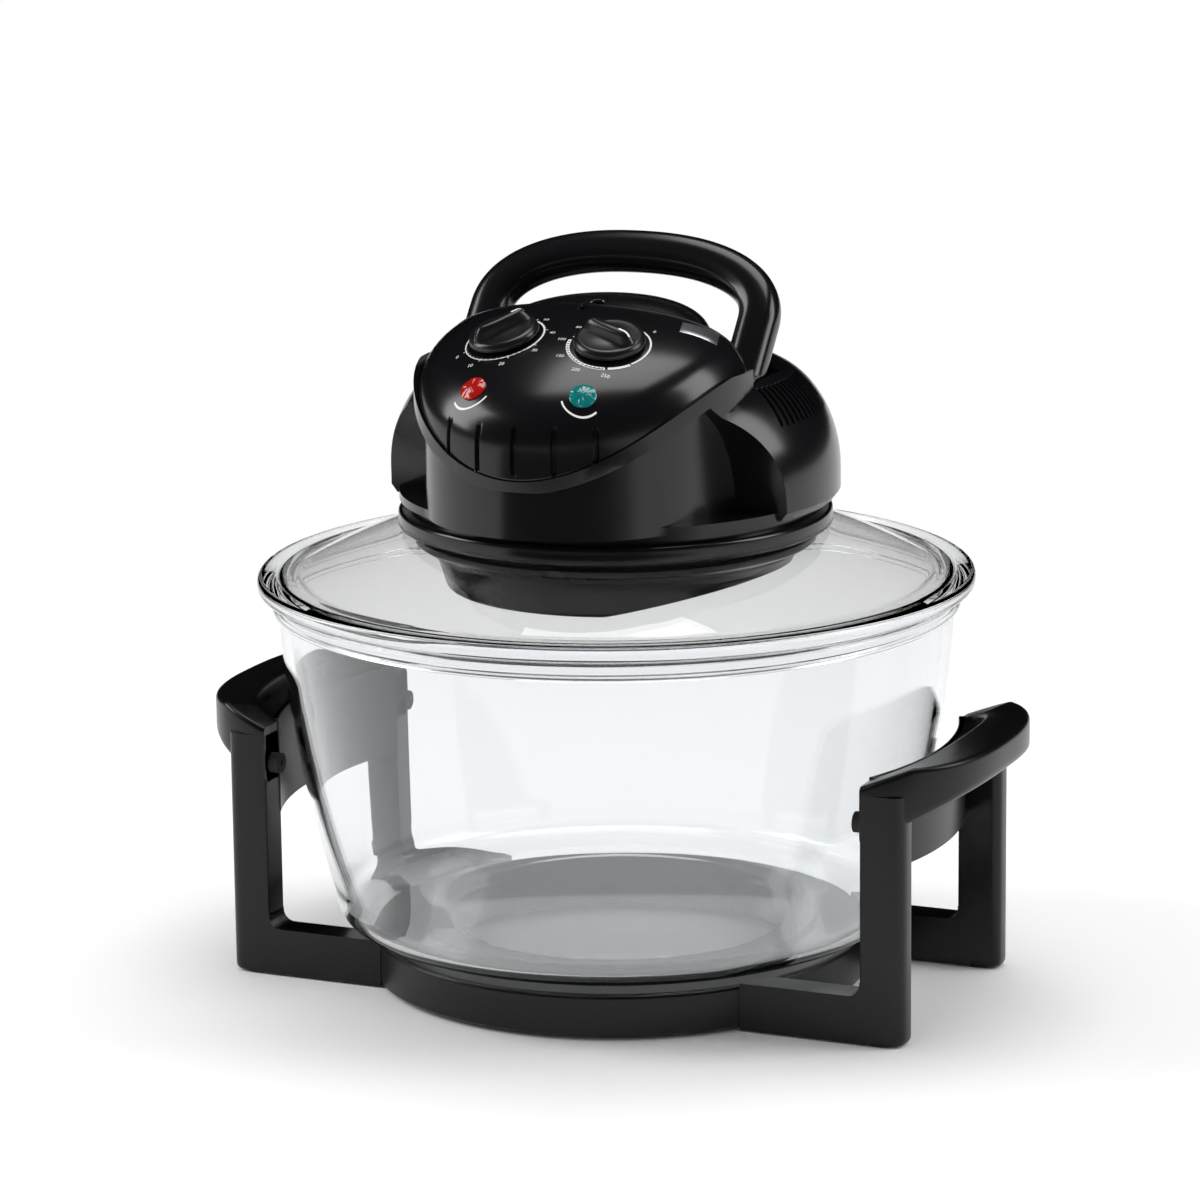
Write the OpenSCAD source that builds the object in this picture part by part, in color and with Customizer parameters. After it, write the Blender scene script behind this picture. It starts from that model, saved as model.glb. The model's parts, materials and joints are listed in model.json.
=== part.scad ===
// Halogen oven: stand, glass bowl and lift-off glass lid with a heater and fan head.
// Millimetres. The bowl axis is Z, the control panel faces -Y and the table is z = 0.

/* [Stand] */
// Outer radius of the ring under the bowl
ring_r = 122; // [116:0.5:126]
// Height of the outer wall of the ring
ring_h = 21; // [19:0.5:23]
// Wall of the ring
ring_wall = 3; // [2:0.5:4]
// Height above the table at which the bowl sits
seat_z = 26.7; // [26:0.1:30]
// Radius of the middle of the bowl seat
seat_r = 91; // [88:1:94]
// Distance over the front and rear faces of a side frame
frame_span = 154; // [140:1:160]
// Distance from the bowl axis to the outer face of the uprights
frame_x = 173.5; // [172:0.5:176]
// Width of an upright along X
bar_w = 18; // [16:0.5:19]
// Depth of an upright along Y
bar_d = 16; // [15:0.5:20]
// Rounding of the outer edges of an upright
bar_round = 5; // [3:0.5:6]
// Height of the lower arms
arm_h = 24; // [22:0.5:26]
// Height of the top of the side handles
side_grip_z = 136; // [130:1:142]
// Height of the outer wall of a side handle
side_grip_t = 14.5; // [12:0.5:18]
// Width of a side handle
side_grip_w = 23; // [18:0.5:25]
// How far a side handle bows out beyond the uprights
side_grip_bow = 33.5; // [30:0.5:35]
// How far the underside of a side handle falls towards the uprights
side_grip_fall = 16.5; // [10:0.5:18]
// How far the top of a side handle falls at the uprights
side_grip_dip = 10; // [5:0.5:12]
// Radius of the inner face of the apron, from the bowl axis
apron_r = 167; // [166:0.5:168]
// Wall of the apron
apron_t = 3.5; // [3:0.5:4]
// Height of the lower edge of the apron
apron_z = 80; // [76:1:90]
// Radius of a rubber foot
foot_r = 7; // [5:0.5:8]
// How far a rubber foot stands below the arm
foot_proud = 1; // [0.6:0.1:1.5]
// Radius of a rubber bowl buffer
buffer_r = 5; // [4:0.5:6]
// Height of the bowl buffers
buffer_z = 107; // [100:1:110]
// Distance of the stand screws from the outer face of the ring
stand_screw_edge = 8.4; // [8:0.1:9]
// Radius of the shank of a stand screw
stand_screw_r = 2; // [1.5:0.1:2.5]

/* [Bowl] */
// Outer radius of the bowl rim
bowl_r = 175; // [174:0.5:176]
// Height of the bowl
bowl_h = 176.5; // [174:0.5:180]
// Glass thickness of the bowl
bowl_wall = 5; // [4:0.25:5.5]
// Outer radius of the wall just under the rim
bowl_neck_r = 165; // [164:0.5:166]
// Outer radius of the wall above the bottom corner
bowl_low_r = 140.5; // [138:0.5:142]
// Outer radius of the flat bottom
bowl_flat_r = 103; // [100:0.5:105]
// Height of the bottom corner
bowl_corner_h = 19; // [16:0.5:22]
// Width of the flat top of the rim
rim_w = 10; // [9:0.5:11]
// Depth of the ledge that the lid sits in
ledge_depth = 4.5; // [4:0.25:5.5]
// Radial play of the lid in the ledge
lid_play = 0.5; // [0.3:0.1:1]

/* [Glass lid] */
// Thickness of the lid glass
lid_wall = 4; // [3:0.25:4.5]
// Height of the lid glass from its edge to its crown
lid_rise = 26; // [24:0.5:28]
// Width of the flat lip round the lid glass
lid_lip = 8; // [6.5:0.5:10]
// Power of the curve from the lip up to the crown
lid_curve = 1.3; // [1.2:0.05:1.6]
// Radius of the hole in the lid glass
lid_hole_r = 93; // [92.5:0.5:95]
// Thickness of the gasket under the collar
gasket_t = 1.2; // [0.8:0.1:2]

/* [Collar and housing] */
// Outer radius of the collar
collar_r = 105.7; // [104:0.5:107]
// Height of the collar rim
collar_h = 8.7; // [8:0.1:10]
// Height of the recessed neck between collar and housing
neck_h = 4.9; // [4:0.1:6]
// Largest radius of the housing
body_r = 109.5; // [108:0.5:111]
// Height of the flat deck of the housing
deck_h = 66; // [64:0.5:67]
// Radius at which the deck starts to round over
deck_r = 70; // [69:0.5:72]
// Wall of the housing
body_wall = 2.5; // [2:0.25:3]
// Radius of the front drum
drum_r = 72; // [71:0.5:73]
// Distance of the drum axis in front of the bowl axis
drum_y = 46; // [45:0.5:47]
// How far the drum stands out round the edge of the panel
drum_lip = 1.5; // [1.2:0.1:2]
// Height at which the drum has flared out to the panel
drum_flare_h = 36; // [30:1:40]
// Height of the band between the scoop and the edge of the panel
scoop_band = 6; // [5:0.5:8]
// Number of vent slots on each side
vent_count = 14; // [8:1:15]
// Width of a vent slot
vent_w = 2; // [1.5:0.1:2.4]
// Angle between two vent slots
vent_pitch = 2.7; // [2.4:0.1:3]

/* [Control panel] */
// Half width of the panel shell
panel_a = 81; // [80:0.5:82]
// Distance from the panel centre to its front
panel_b = 89; // [88:0.5:90]
// Height of the crown of the panel above the bottom of the housing
panel_crown = 98.3; // [96:0.5:100]
// Radius of the panel from front to back
panel_roll = 200; // [190:5:220]
// Radius of the panel from side to side
panel_cross = 300; // [250:10:400]
// Height of the lowest point of the panel edge above the bottom of the housing
smile_h = 28; // [26:0.5:30]
// How much higher the panel edge is at the sides
smile_rise = 42; // [38:0.5:43]
// Thickness of the panel shell
panel_t = 2.5; // [2:0.25:3]
// Number of upright grooves in the front
groove_count = 5; // [3:2:7]
// Angle between two grooves
groove_pitch = 15.5; // [14:0.5:17]
// Half distance between the knobs
knob_x = 27; // [26:0.5:29]
// Distance of the knobs in front of the bowl axis
knob_y = 67; // [65:1:69]
// Half distance between the indicator lenses
lens_x = 28; // [26:0.5:30]
// Distance of the lenses in front of the bowl axis
lens_y = 101; // [99:1:103]
// Radius of an indicator lens
lens_r = 6.5; // [5.5:0.5:7]

/* [Knobs] */
// Radius of a knob
knob_r = 17; // [15:0.5:19]
// Height of the knob skirt
knob_base_h = 4; // [3:0.5:5]
// Height of the whole knob
knob_h = 10.5; // [9.5:0.5:13]
// Radius of a spindle
spindle_r = 3; // [2.5:0.1:3.5]

/* [Carrying handle] */
// Half width over the outside of the handle
grip_a = 81; // [80:0.5:82]
// Distance from the pivot to the top of the handle
grip_reach = 84.6; // [82:0.1:86]
// Thickness of the handle across its plane
grip_t = 18; // [16:0.5:19]
// Width of the handle in its plane
grip_w = 20; // [18:0.5:21]
// Backward lean of the handle at rest
grip_lean = 40; // [35:1:45]
// Height of the pivot above the bottom of the housing
pivot_h = 56; // [55:0.5:57]
// Distance of the pivot in front of the bowl axis
pivot_y = 13; // [12:0.5:13.5]
// Radius of a pivot pin
pivot_r = 3; // [2.5:0.1:3.5]

/* [Heater] */
// Outer radius of the heater housing
heater_r = 89; // [88:0.25:90]
// Depth of the heater housing below the collar
heater_h = 31.6; // [30:0.5:33]
// Wall of the heater housing
heater_wall = 2; // [1.5:0.25:2.5]
// Rise of the slanted floor for each millimetre across
heater_slope = 0.218; // [0.2:0.01:0.23]
// Radius of the opening in the floor
heater_mouth_r = 66; // [62:1:67]
// Radius of the ring of the halogen tube
lamp_ring_r = 62; // [60:1:64]
// Thickness of the sheet-metal parts
sheet_t = 1.2; // [1:0.1:1.5]
// Radius of the halogen tube
lamp_r = 4.5; // [4:0.25:5]

/* [Drive] */
// Radius of the motor shaft
shaft_r = 3; // [2.5:0.1:3.5]
// Radius of the convection fan
fan_r = 40; // [34:1:46]
// Number of blades on each fan
blade_count = 6; // [4:1:8]
// Radius of the cooling fan
cooler_r = 44; // [38:1:46]
// Radius of the motor
motor_r = 27; // [24:0.5:30]
// Height of the motor
motor_h = 32; // [28:0.5:36]

/* [Fits] */
// Gap between pieces that only rest on each other
rest_gap = 0.3; // [0.2:0.05:0.5]
// Radial clearance of a turning shaft
turn_gap = 0.06; // [0.03:0.01:0.1]
// Gap round pieces that are pushed into holes
push_gap = 0.1; // [0.05:0.01:0.15]
// Gap between neighbouring shells
seam_gap = 0.2; // [0.15:0.05:0.4]

/* [Hidden] */
$fn = 96;

black = "#161616";
dark = "#262626";
glass = [0.85, 0.92, 0.93, 0.35];
steel = "#b9bcc0";

// Heights, from the table upwards
frame_z = foot_proud;
ring_z = 2;
bowl_z = seat_z + rest_gap;
rim_z = bowl_z + bowl_h;
lid_z = rim_z - ledge_depth + rest_gap;
lid_top = lid_z + lid_rise;
collar_z = lid_top + gasket_t;
body_z = collar_z + collar_h + neck_h;
deck_z = body_z + deck_h;

// An elliptic arc as a list of points
function arc(cx, cy, rx, ry, a0, a1, n) =
    [for (i = [0:n]) let (a = a0 + (a1 - a0) * i / n) [cx + rx * cos(a), cy + ry * sin(a)]];

// A sweep of closed rings of equal length, as a closed solid
module skin(rings) {
    n = len(rings[0]);
    m = len(rings);
    sides = [for (i = [0:m - 2], j = [0:n - 1]) let (k = (j + 1) % n)
        each [[i * n + j, i * n + k, (i + 1) * n + k], [i * n + j, (i + 1) * n + k, (i + 1) * n + j]]];
    first = [[for (j = [n - 1:-1:0]) j]];
    last = [[for (j = [0:n - 1]) (m - 1) * n + j]];
    polyhedron(points = [for (r = rings) each r], faces = concat(first, sides, last), convexity = 6);
}

module both_sides() {
    children();
    mirror([1, 0, 0]) children();
}

module front_and_rear() {
    children();
    mirror([0, 1, 0]) children();
}

// Stand

bar_y = frame_span / 2 - bar_d / 2;
bar_x = frame_x - bar_w / 2;
grip_in_x = frame_x - bar_w;
grip_out_x = frame_x + side_grip_bow;
grip_under = side_grip_z - side_grip_t;
tongue_w = 13;
tongue_z = 6;
tongue_t = 8;
tongue_y = bar_y;
stand_screw_x = sqrt(pow(ring_r - stand_screw_edge, 2) - pow(tongue_y, 2));
tongue_x = stand_screw_x - 7;

module tongue(gap) {
    translate([tongue_x - gap, tongue_y - tongue_w / 2 - gap, tongue_z])
        cube([frame_x - bar_w - tongue_x, tongue_w + 2 * gap, tongue_t]);
}

module at_stand_screws() {
    both_sides() front_and_rear() translate([stand_screw_x, tongue_y, 0]) children();
}

module base_ring() {
    top = ring_z + ring_h;
    seat_w = 14;
    seat_in = seat_r - seat_w / 2;
    seat_out = seat_r + seat_w / 2;
    edge = 2.5;
    rib_t = 2;
    color(black) difference() {
        union() {
            rotate_extrude($fn = 160) difference() {
                polygon(concat([[seat_in, ring_z + 4], [ring_r - 6, ring_z + 4], [ring_r - 4, ring_z],
                    [ring_r - 1, ring_z], [ring_r, ring_z + 1]],
                    arc(ring_r - edge, top - edge, edge, edge, 0, 90, 6),
                    [[seat_out, top], [seat_out - 1, seat_z], [seat_in, seat_z]]));
                polygon([[seat_in + ring_wall, ring_z - 1], [ring_r - ring_wall - 1, ring_z - 1],
                    [ring_r - ring_wall, top - ring_wall], [seat_out - ring_wall, top - ring_wall],
                    [seat_out - ring_wall, seat_z - ring_wall], [seat_in + ring_wall, seat_z - ring_wall]]);
            }
            for (a = [0:30:330]) rotate(a) translate([seat_in + 1, -rib_t / 2, ring_z + 5])
                cube([ring_r - seat_in - 3, rib_t, top - ring_z - 6]);
            at_stand_screws() translate([0, 0, tongue_z + tongue_t])
                cylinder(r = 5, h = top - 1 - tongue_z - tongue_t);
        }
        both_sides() front_and_rear() tongue(seam_gap);
        at_stand_screws() translate([0, 0, tongue_z]) cylinder(r = stand_screw_r, h = tongue_t + 6);
    }
}

// A rounded outline that bows out from the inner faces of the uprights
function bow(out, half) = [for (t = [-90:5:90]) [grip_in_x + out * pow(abs(cos(t)), 0.8),
    half * sign(sin(t)) * pow(abs(sin(t)), 0.8)]];

// Plan of one bar: arm and upright, rounded at the outer end
function bar_plan() = concat(
    [[tongue_x, frame_span / 2 - bar_d]],
    arc(frame_x - bar_round, frame_span / 2 - bar_d + bar_round, bar_round, bar_round, -90, 0, 6),
    arc(frame_x - bar_round, frame_span / 2 - bar_round, bar_round, bar_round, 0, 90, 6),
    [[tongue_x, frame_span / 2]]);

// Side view of arm and upright
function bar_side() = let (corner = 6, edge = 4) concat(
    [[tongue_x, frame_z], [frame_x - edge, frame_z]],
    arc(frame_x - edge, frame_z + edge, edge, edge, -80, 0, 5),
    [[frame_x, grip_under + 2], [grip_in_x, grip_under + 2]],
    arc(grip_in_x - corner, arm_h + corner, corner, corner, 0, -90, 5),
    [[tongue_x, arm_h]]);

// The bowed handle. Its underside rises outwards and its top dips at the uprights
module side_handle() {
    rise = side_grip_fall * (grip_out_x - grip_in_x) / side_grip_bow;
    slope_w = 29;
    intersection() {
        linear_extrude(side_grip_z) difference() {
            polygon(bow(grip_out_x - grip_in_x, frame_span / 2));
            polygon(bow(grip_out_x - side_grip_w - grip_in_x, frame_span / 2 - bar_d));
            translate([0, -frame_span]) square([grip_in_x, 2 * frame_span]);
        }
        translate([0, frame_span, 0]) rotate([90, 0, 0]) linear_extrude(2 * frame_span)
            polygon([[grip_in_x, grip_under - rise], [grip_out_x + 1, grip_under],
                [grip_out_x + 1, side_grip_z], [grip_in_x + slope_w, side_grip_z],
                [grip_in_x, side_grip_z - side_grip_dip]]);
    }
}

module side_frame_form() {
    shelf_t = 6;
    apron_end = asin((frame_span / 2 - bar_d + 1.2) / apron_r);
    front_and_rear() {
        difference() {
            intersection() {
                linear_extrude(side_grip_z) polygon(bar_plan());
                translate([0, frame_span, 0]) rotate([90, 0, 0]) linear_extrude(frame_span)
                    polygon(bar_side());
            }
            translate([0, 0, -1]) cylinder(r = ring_r + seam_gap, h = arm_h + 5, $fn = 160);
        }
        intersection() {
            tongue(0);
            cylinder(r = ring_r + 5, h = 50);
        }
    }
    side_handle();
    // Shelf between the handle and the apron
    translate([0, 0, grip_under]) linear_extrude(shelf_t) difference() {
        polygon(bow(grip_out_x - side_grip_w - grip_in_x + 1, frame_span / 2 - bar_d + 1));
        circle(r = apron_r + 1, $fn = 200);
        translate([0, -frame_span]) square([grip_in_x, 2 * frame_span]);
    }
    // Apron
    rotate(-apron_end) translate([0, 0, apron_z]) rotate_extrude(angle = 2 * apron_end, $fn = 200)
        translate([apron_r, 0]) square([apron_t, grip_under + shelf_t - apron_z]);
}

module side_frame_cuts() {
    front_and_rear() {
        translate([bar_x, bar_y, frame_z - 1]) cylinder(r = foot_r, h = 3);
        translate([frame_x - bar_w - 1, bar_y, buffer_z]) rotate([0, 90, 0])
            cylinder(r = buffer_r - 2 + push_gap, h = 6);
        translate([stand_screw_x, tongue_y, tongue_z - 1])
            cylinder(r = stand_screw_r + 0.2, h = tongue_t + 2);
    }
}

module side_frame_right() {
    color(black) difference() {
        side_frame_form();
        side_frame_cuts();
    }
}

module side_frame_left() {
    color(black) mirror([1, 0, 0]) difference() {
        side_frame_form();
        side_frame_cuts();
    }
}

module bowl_buffers() {
    reach = 5;
    stem = 5;
    color(dark) both_sides() front_and_rear() translate([frame_x - bar_w, bar_y, buffer_z]) {
        rotate([0, 90, 0]) cylinder(r = buffer_r - 2, h = stem);
        difference() {
            rotate([0, -90, 0]) cylinder(r = buffer_r, h = reach);
            translate([-reach, 0, 0]) rotate([0, 90, 0]) cylinder(r = 1.5, h = 1);
        }
    }
}

module stand_screws() {
    color(steel) at_stand_screws() {
        translate([0, 0, tongue_z - 2.4]) difference() {
            cylinder(r = 2 * stand_screw_r, h = 2.4);
            translate([-0.5, -stand_screw_r, -1]) cube([1, 2 * stand_screw_r, 2]);
        }
        translate([0, 0, tongue_z - 0.5]) cylinder(r = stand_screw_r, h = tongue_t + 6);
    }
}

module rubber_feet() {
    color(dark) both_sides() front_and_rear() translate([bar_x, bar_y, 0]) difference() {
        cylinder(r = foot_r, h = frame_z + 2);
        translate([0, 0, -1]) cylinder(r = foot_r / 2, h = 1.6);
    }
}

// Bowl and lid glass

// Outer radius of the bowl wall at a share of the height between corner and neck
function bowl_side(s) = bowl_low_r + (bowl_neck_r - bowl_low_r) * (1.7 * s - 0.7 * s * s);
neck_z = rim_z - 16;
corner_power = 0.7;
ledge_r = bowl_r - rim_w;

function bowl_outside() = concat(
    [[bowl_flat_r, bowl_z]],
    [for (a = [10:10:80]) [bowl_flat_r + (bowl_low_r - bowl_flat_r) * pow(sin(a), corner_power),
        bowl_z + bowl_corner_h * (1 - pow(cos(a), corner_power))]],
    [for (s = [0:0.1:1]) [bowl_side(s), bowl_z + bowl_corner_h + s * (neck_z - bowl_z - bowl_corner_h)]]);

module glass_bowl() {
    ridge = 3;
    rim_h = 8;
    inside = bowl_outside();
    color(glass) rotate_extrude($fn = 200) difference() {
        polygon(concat([[0, bowl_z]], bowl_outside(),
            arc(bowl_neck_r, neck_z, ridge, 2, -60, 60, 6),
            [[bowl_neck_r + 2, neck_z + 4]],
            arc(bowl_r - 4, rim_z - rim_h + 4, 4, 4, -80, 0, 5),
            arc(bowl_r - 3, rim_z - 3, 3, 3, 0, 90, 5),
            [[ledge_r, rim_z], [0, rim_z]]));
        polygon(concat([[0, bowl_z + bowl_wall], [bowl_flat_r - 2, bowl_z + bowl_wall]],
            [for (i = [2:len(inside) - 1]) [inside[i].x - bowl_wall,
                max(bowl_z + bowl_wall, inside[i].y + bowl_wall * (i < 9 ? 1 - i / 9 : 0))]],
            [[ledge_r - bowl_wall, rim_z - ledge_depth], [ledge_r, rim_z - ledge_depth],
            [ledge_r, rim_z + 1], [0, rim_z + 1]]));
    }
}

module glass_lid() {
    edge_r = ledge_r - lid_play;
    flat_r = collar_r - 4;
    shoulder_r = edge_r - lid_lip;
    base = lid_z + lid_wall;
    n = 14;
    top = [for (i = [0:n]) [flat_r + (shoulder_r - flat_r) * i / n,
        base + (lid_rise - lid_wall) * (1 - pow(i / n, lid_curve))]];
    color(glass) rotate_extrude($fn = 200) polygon(concat(
        [[lid_hole_r, lid_top]], top,
        [[edge_r - 1, base], [edge_r, base - 1], [edge_r, lid_z], [shoulder_r - 1, lid_z]],
        [for (i = [n - 1:-1:0]) [top[i].x - 1.5, top[i].y - lid_wall]],
        [[lid_hole_r, lid_top - lid_wall]]));
}

module lid_gasket() {
    color(dark) difference() {
        translate([0, 0, lid_top]) cylinder(r = collar_r - 5, h = gasket_t);
        translate([0, 0, lid_top - 1]) cylinder(r = lid_hole_r + 1, h = gasket_t + 2);
    }
}

module clamp_ring() {
    top = lid_top - lid_wall;
    wide = 8.5;
    deep = 5.5;
    color(dark) rotate_extrude($fn = 160) polygon([[heater_r, top], [heater_r + wide - 1.5, top],
        [heater_r + wide, top - 1.5], [heater_r + wide, top - deep + 1.5],
        [heater_r + wide - 2.5, top - deep], [heater_r, top - deep]]);
}

// Head

head_screw_r = heater_r - 5.4;
head_screw_rad = 1.8;
head_screw_head = 2.8;
collar_in_r = heater_r - 11;
collar_floor = 3;
neck_r = collar_r - 5.7;

module at_head_screws() {
    for (a = [45:90:315]) rotate(a) translate([head_screw_r, 0, 0]) children();
}

post_r = 5;
module collar() {
    top = collar_z + collar_h;
    color(black) difference() {
        union() {
            rotate_extrude($fn = 160) polygon(concat([[collar_in_r, collar_z], [collar_r - 2, collar_z]],
                arc(collar_r - 1.5, collar_z + 1.5, 1.5, 1.5, -60, 0, 3),
                arc(collar_r - 2, top - 2, 2, 2, 0, 90, 4),
                [[neck_r, top], [neck_r, top + neck_h], [neck_r - 3, top + neck_h],
                [neck_r - 3, collar_z + collar_floor], [collar_in_r, collar_z + collar_floor]]));
            at_head_screws() translate([0, 0, collar_z + 1]) cylinder(r = post_r, h = collar_h + neck_h - 1);
        }
        at_head_screws() translate([0, 0, collar_z - 1]) cylinder(r = head_screw_rad, h = 40);
    }
}

// Outline of the dome of the housing, drawn in by an inset
function dome_outline(inset) = concat(
    [[0, 0], [body_r - 3 - inset, 0], [body_r - inset, 4]],
    arc(deck_r, 13, body_r - deck_r - inset, deck_h - 13 - inset, 0, 90, 18),
    [[0, deck_h - inset]]);

// Core of the housing: front drum and rear round joined by their tangents
core_r = 84;
core_h = 60;
tangent = asin((drum_r - core_r) / drum_y);

module core_plan(inset) {
    union() {
        translate([0, -drum_y]) circle(r = drum_r - inset, $fn = 128);
        circle(r = core_r - inset, $fn = 128);
        polygon([[(core_r - inset) * cos(tangent), (core_r - inset) * sin(tangent)],
            [-(core_r - inset) * cos(tangent), (core_r - inset) * sin(tangent)],
            [-(drum_r - inset) * cos(tangent), -drum_y + (drum_r - inset) * sin(tangent)],
            [(drum_r - inset) * cos(tangent), -drum_y + (drum_r - inset) * sin(tangent)]]);
    }
}

// Plane in which the panel shell meets the rest of the head
seam_y = 25;

// Space in front of the shoulders, where the side of the housing is drawn in
module scoop(inset) {
    scoop_y = 75;
    scoop_a = 39.5;
    scoop_b = 56;
    // Below the panel edge the top of the scoop keeps to that edge
    function under_panel(y) = panel_a * sqrt(max(0, 1 - pow((y + panel_y) / panel_b, 2)));
    rotate([90, 0, 90]) translate([0, 0, -body_r - 5]) linear_extrude(2 * body_r + 10)
        polygon(concat(
            [[-2 * body_r, -20], [-scoop_y + scoop_a + inset, -20]],
            arc(-scoop_y, 3, scoop_a + inset, scoop_b + inset, 0, 66, 12),
            [for (y = [-64:-6:-118]) [y, smile(under_panel(y)) - scoop_band + inset]],
            [[-2 * body_r, smile_h - scoop_band + inset]]));
}

// The drum flares out from its foot to the outline of the panel
module drum_flare(inset) {
    back = -seam_y - inset;
    hull() {
        translate([0, -drum_y, 0]) cylinder(r = drum_r - drum_lip - inset, h = 1, $fn = 48);
        translate([0, 0, drum_flare_h]) linear_extrude(smile_h + smile_rise - drum_flare_h + 0.5)
            polygon(concat([[-panel_a - drum_lip + inset, back]],
                arc(0, -panel_y, panel_a + drum_lip - inset, panel_b + drum_lip - inset, 180, 360, 40),
                [[panel_a + drum_lip - inset, back]]));
    }
}

module housing_form(inset) {
    difference() {
        union() {
            rotate_extrude($fn = 160) polygon(dome_outline(inset));
            difference() {
                drum_flare(inset);
                if (inset < body_wall) above_smile(inset);
            }
        }
        scoop(inset);
    }
    linear_extrude(core_h - inset) core_plan(inset);
}

// Height of the outer face of the panel, before its edge is rounded over
panel_y = 30;
function roll(x, y) = panel_crown - panel_roll + sqrt(pow(panel_roll, 2) - pow(y + 2, 2))
    - x * x / (2 * panel_cross);
function swell(s) = pow(max(0, 1 - pow(s, 6)), 1 / 6);
function panel_z(x, y) = smile_h + (roll(x, y) - smile_h)
    * swell(sqrt(pow(x / panel_a, 2) + pow((y + panel_y) / panel_b, 2)));

function slope_x(x, y) = panel_z(x + 0.5, y) - panel_z(x - 0.5, y);
function slope_y(x, y) = panel_z(x, y + 0.5) - panel_z(x, y - 0.5);

// Places children on the panel with +Z along its outward normal
module on_panel(x, y) {
    nx = -slope_x(x, y);
    ny = -slope_y(x, y);
    turn = atan2(ny, nx);
    translate([x, y, body_z + panel_z(x, y)]) rotate(turn) rotate([0, atan(sqrt(nx * nx + ny * ny)), 0])
        rotate(-turn) children();
}

// A pillow: an elliptic plan whose top follows the roll of the panel and rounds over at its edge
module pillow(a, b, cy, drop, base, steep, around) {
    rings = [0.22, 0.42, 0.6, 0.74, 0.85, 0.92, 0.965, 0.99, 1];
    function edge(s) = pow(max(0, 1 - pow(s, steep)), 1 / steep);
    function place(s, t) = let (x = a * s * cos(t), y = cy + b * s * sin(t))
        [x, y, base + (roll(x, y) - drop - base) * edge(s)];
    m = len(rings);
    tops = [for (s = rings, j = [0:around - 1]) place(s, 360 * j / around)];
    foot = [for (j = [0:around - 1]) let (t = 360 * j / around) [a * cos(t), cy + b * sin(t), base - 12]];
    points = concat([place(0, 0)], tops, foot);
    centre = [for (j = [0:around - 1]) [0, 1 + (j + 1) % around, 1 + j]];
    walls = [for (i = [0:m - 1], j = [0:around - 1]) let (p = 1 + i * around, k = (j + 1) % around)
        each [[p + j, p + k, p + around + k], [p + j, p + around + k, p + around + j]]];
    bottom = [[for (j = [0:around - 1]) 1 + m * around + j]];
    polyhedron(points = points, faces = concat(centre, walls, bottom), convexity = 4);
}

// Everything above the lower edge of the panel
function smile(x) = smile_h + smile_rise * pow(min(1, abs(x) / panel_a), 2);
module above_smile(gap) {
    reach = panel_a + 4;
    translate([0, 60, 0]) rotate([90, 0, 0]) linear_extrude(250)
        polygon(concat(
            [[-reach, 2 * panel_crown], [-reach, smile(reach) - gap]],
            [for (i = [-16:16]) let (x = i / 16 * panel_a) [x, smile(x) - gap]],
            [[reach, smile(reach) - gap], [reach, 2 * panel_crown]]));
}

cover_a = 55;
cover_b = 62;
cover_y = 20;
cover_t = 2.5;
cover_drop = 0.6;

// Wells in the deck that take the legs of the handle
well_w = grip_w + 2.5;
well_wall = 2.5;
well_front = pivot_y + grip_t / 2 + 1.5;
well_d = 34.5;
well_z = pivot_h - grip_t / 2 - 2;
well_floor = 2;
grip_x = grip_a - grip_w / 2 - 0.6;
plunger_r = 1.5;
floor_t = 3;
lip_h = 4;
gland_r = 7;
gland_h = 20;

module main_housing() {
    boss_r = 4.5;
    mouth_r = head_screw_r - boss_r + 0.4;
    first = -(vent_count - 1) / 2 * vent_pitch + 2;
    color(black) translate([0, 0, body_z]) difference() {
        union() {
            difference() {
                housing_form(0);
                intersection() {
                    housing_form(body_wall);
                    translate([0, 0, floor_t + 100]) cube([400, 400, 200], center = true);
                }
            }
            // Lip round the bottom
            difference() {
                cylinder(r = neck_r + 5, h = lip_h);
                translate([0, 0, -1]) cylinder(r = mouth_r, h = lip_h + 2);
            }
            at_head_screws() translate([0, 0, 1]) cylinder(r = boss_r, h = 14);
            // Walls of the wells, which also hold the pivot pins
            intersection() {
                housing_form(0.5);
                both_sides()
                    translate([grip_x - well_w / 2 - well_wall, -well_front - 1.3, well_z - well_floor])
                    cube([well_w + 2 * well_wall, well_d + 2.8, deck_h]);
            }
        }
        // Room for the panel shell
        intersection() {
            above_smile(0);
            translate([0, -panel_y, 0]) linear_extrude(2 * panel_crown)
                polygon(arc(0, 0, panel_a + seam_gap, panel_b + seam_gap, 0, 357, 119));
            translate([-200, -200 - seam_y + seam_gap, 0]) cube([400, 200, 300]);
        }
        translate([0, 0, -1]) cylinder(r = mouth_r, h = floor_t + 2);
        at_head_screws() translate([0, 0, -1]) cylinder(r = head_screw_rad, h = 13);
        both_sides() {
            translate([grip_x - well_w / 2, -well_front, well_z]) cube([well_w, well_d, 40]);
            translate([grip_x, -pivot_y, well_z - 5]) cylinder(r = plunger_r + turn_gap, h = 10);
            translate([grip_x - well_w / 2 - well_wall - 0.1, -pivot_y, pivot_h]) rotate([0, 90, 0])
                cylinder(r = pivot_r, h = well_w + 2 * well_wall + 0.1);
            for (i = [0:vent_count - 1]) rotate(first + i * vent_pitch)
                translate([87, -vent_w / 2, 44]) cube([16, vent_w, 22]);
        }
        translate([0, body_r - 20, gland_h]) rotate([-90, 0, 0]) cylinder(r = gland_r + push_gap, h = 30);
    }
}

module top_cover() {
    color(black) translate([0, 0, body_z]) intersection() {
        difference() {
            pillow(cover_a, cover_b, -cover_y, cover_drop, deck_h, 4, 40);
            pillow(cover_a - cover_t, cover_b - cover_t, -cover_y, cover_drop + cover_t, deck_h, 4, 40);
        }
        translate([-100, -seam_y + seam_gap / 2, deck_h]) cube([200, 100, 60]);
    }
}

bush_r = spindle_r + 2;
block_drop = 6;

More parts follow.
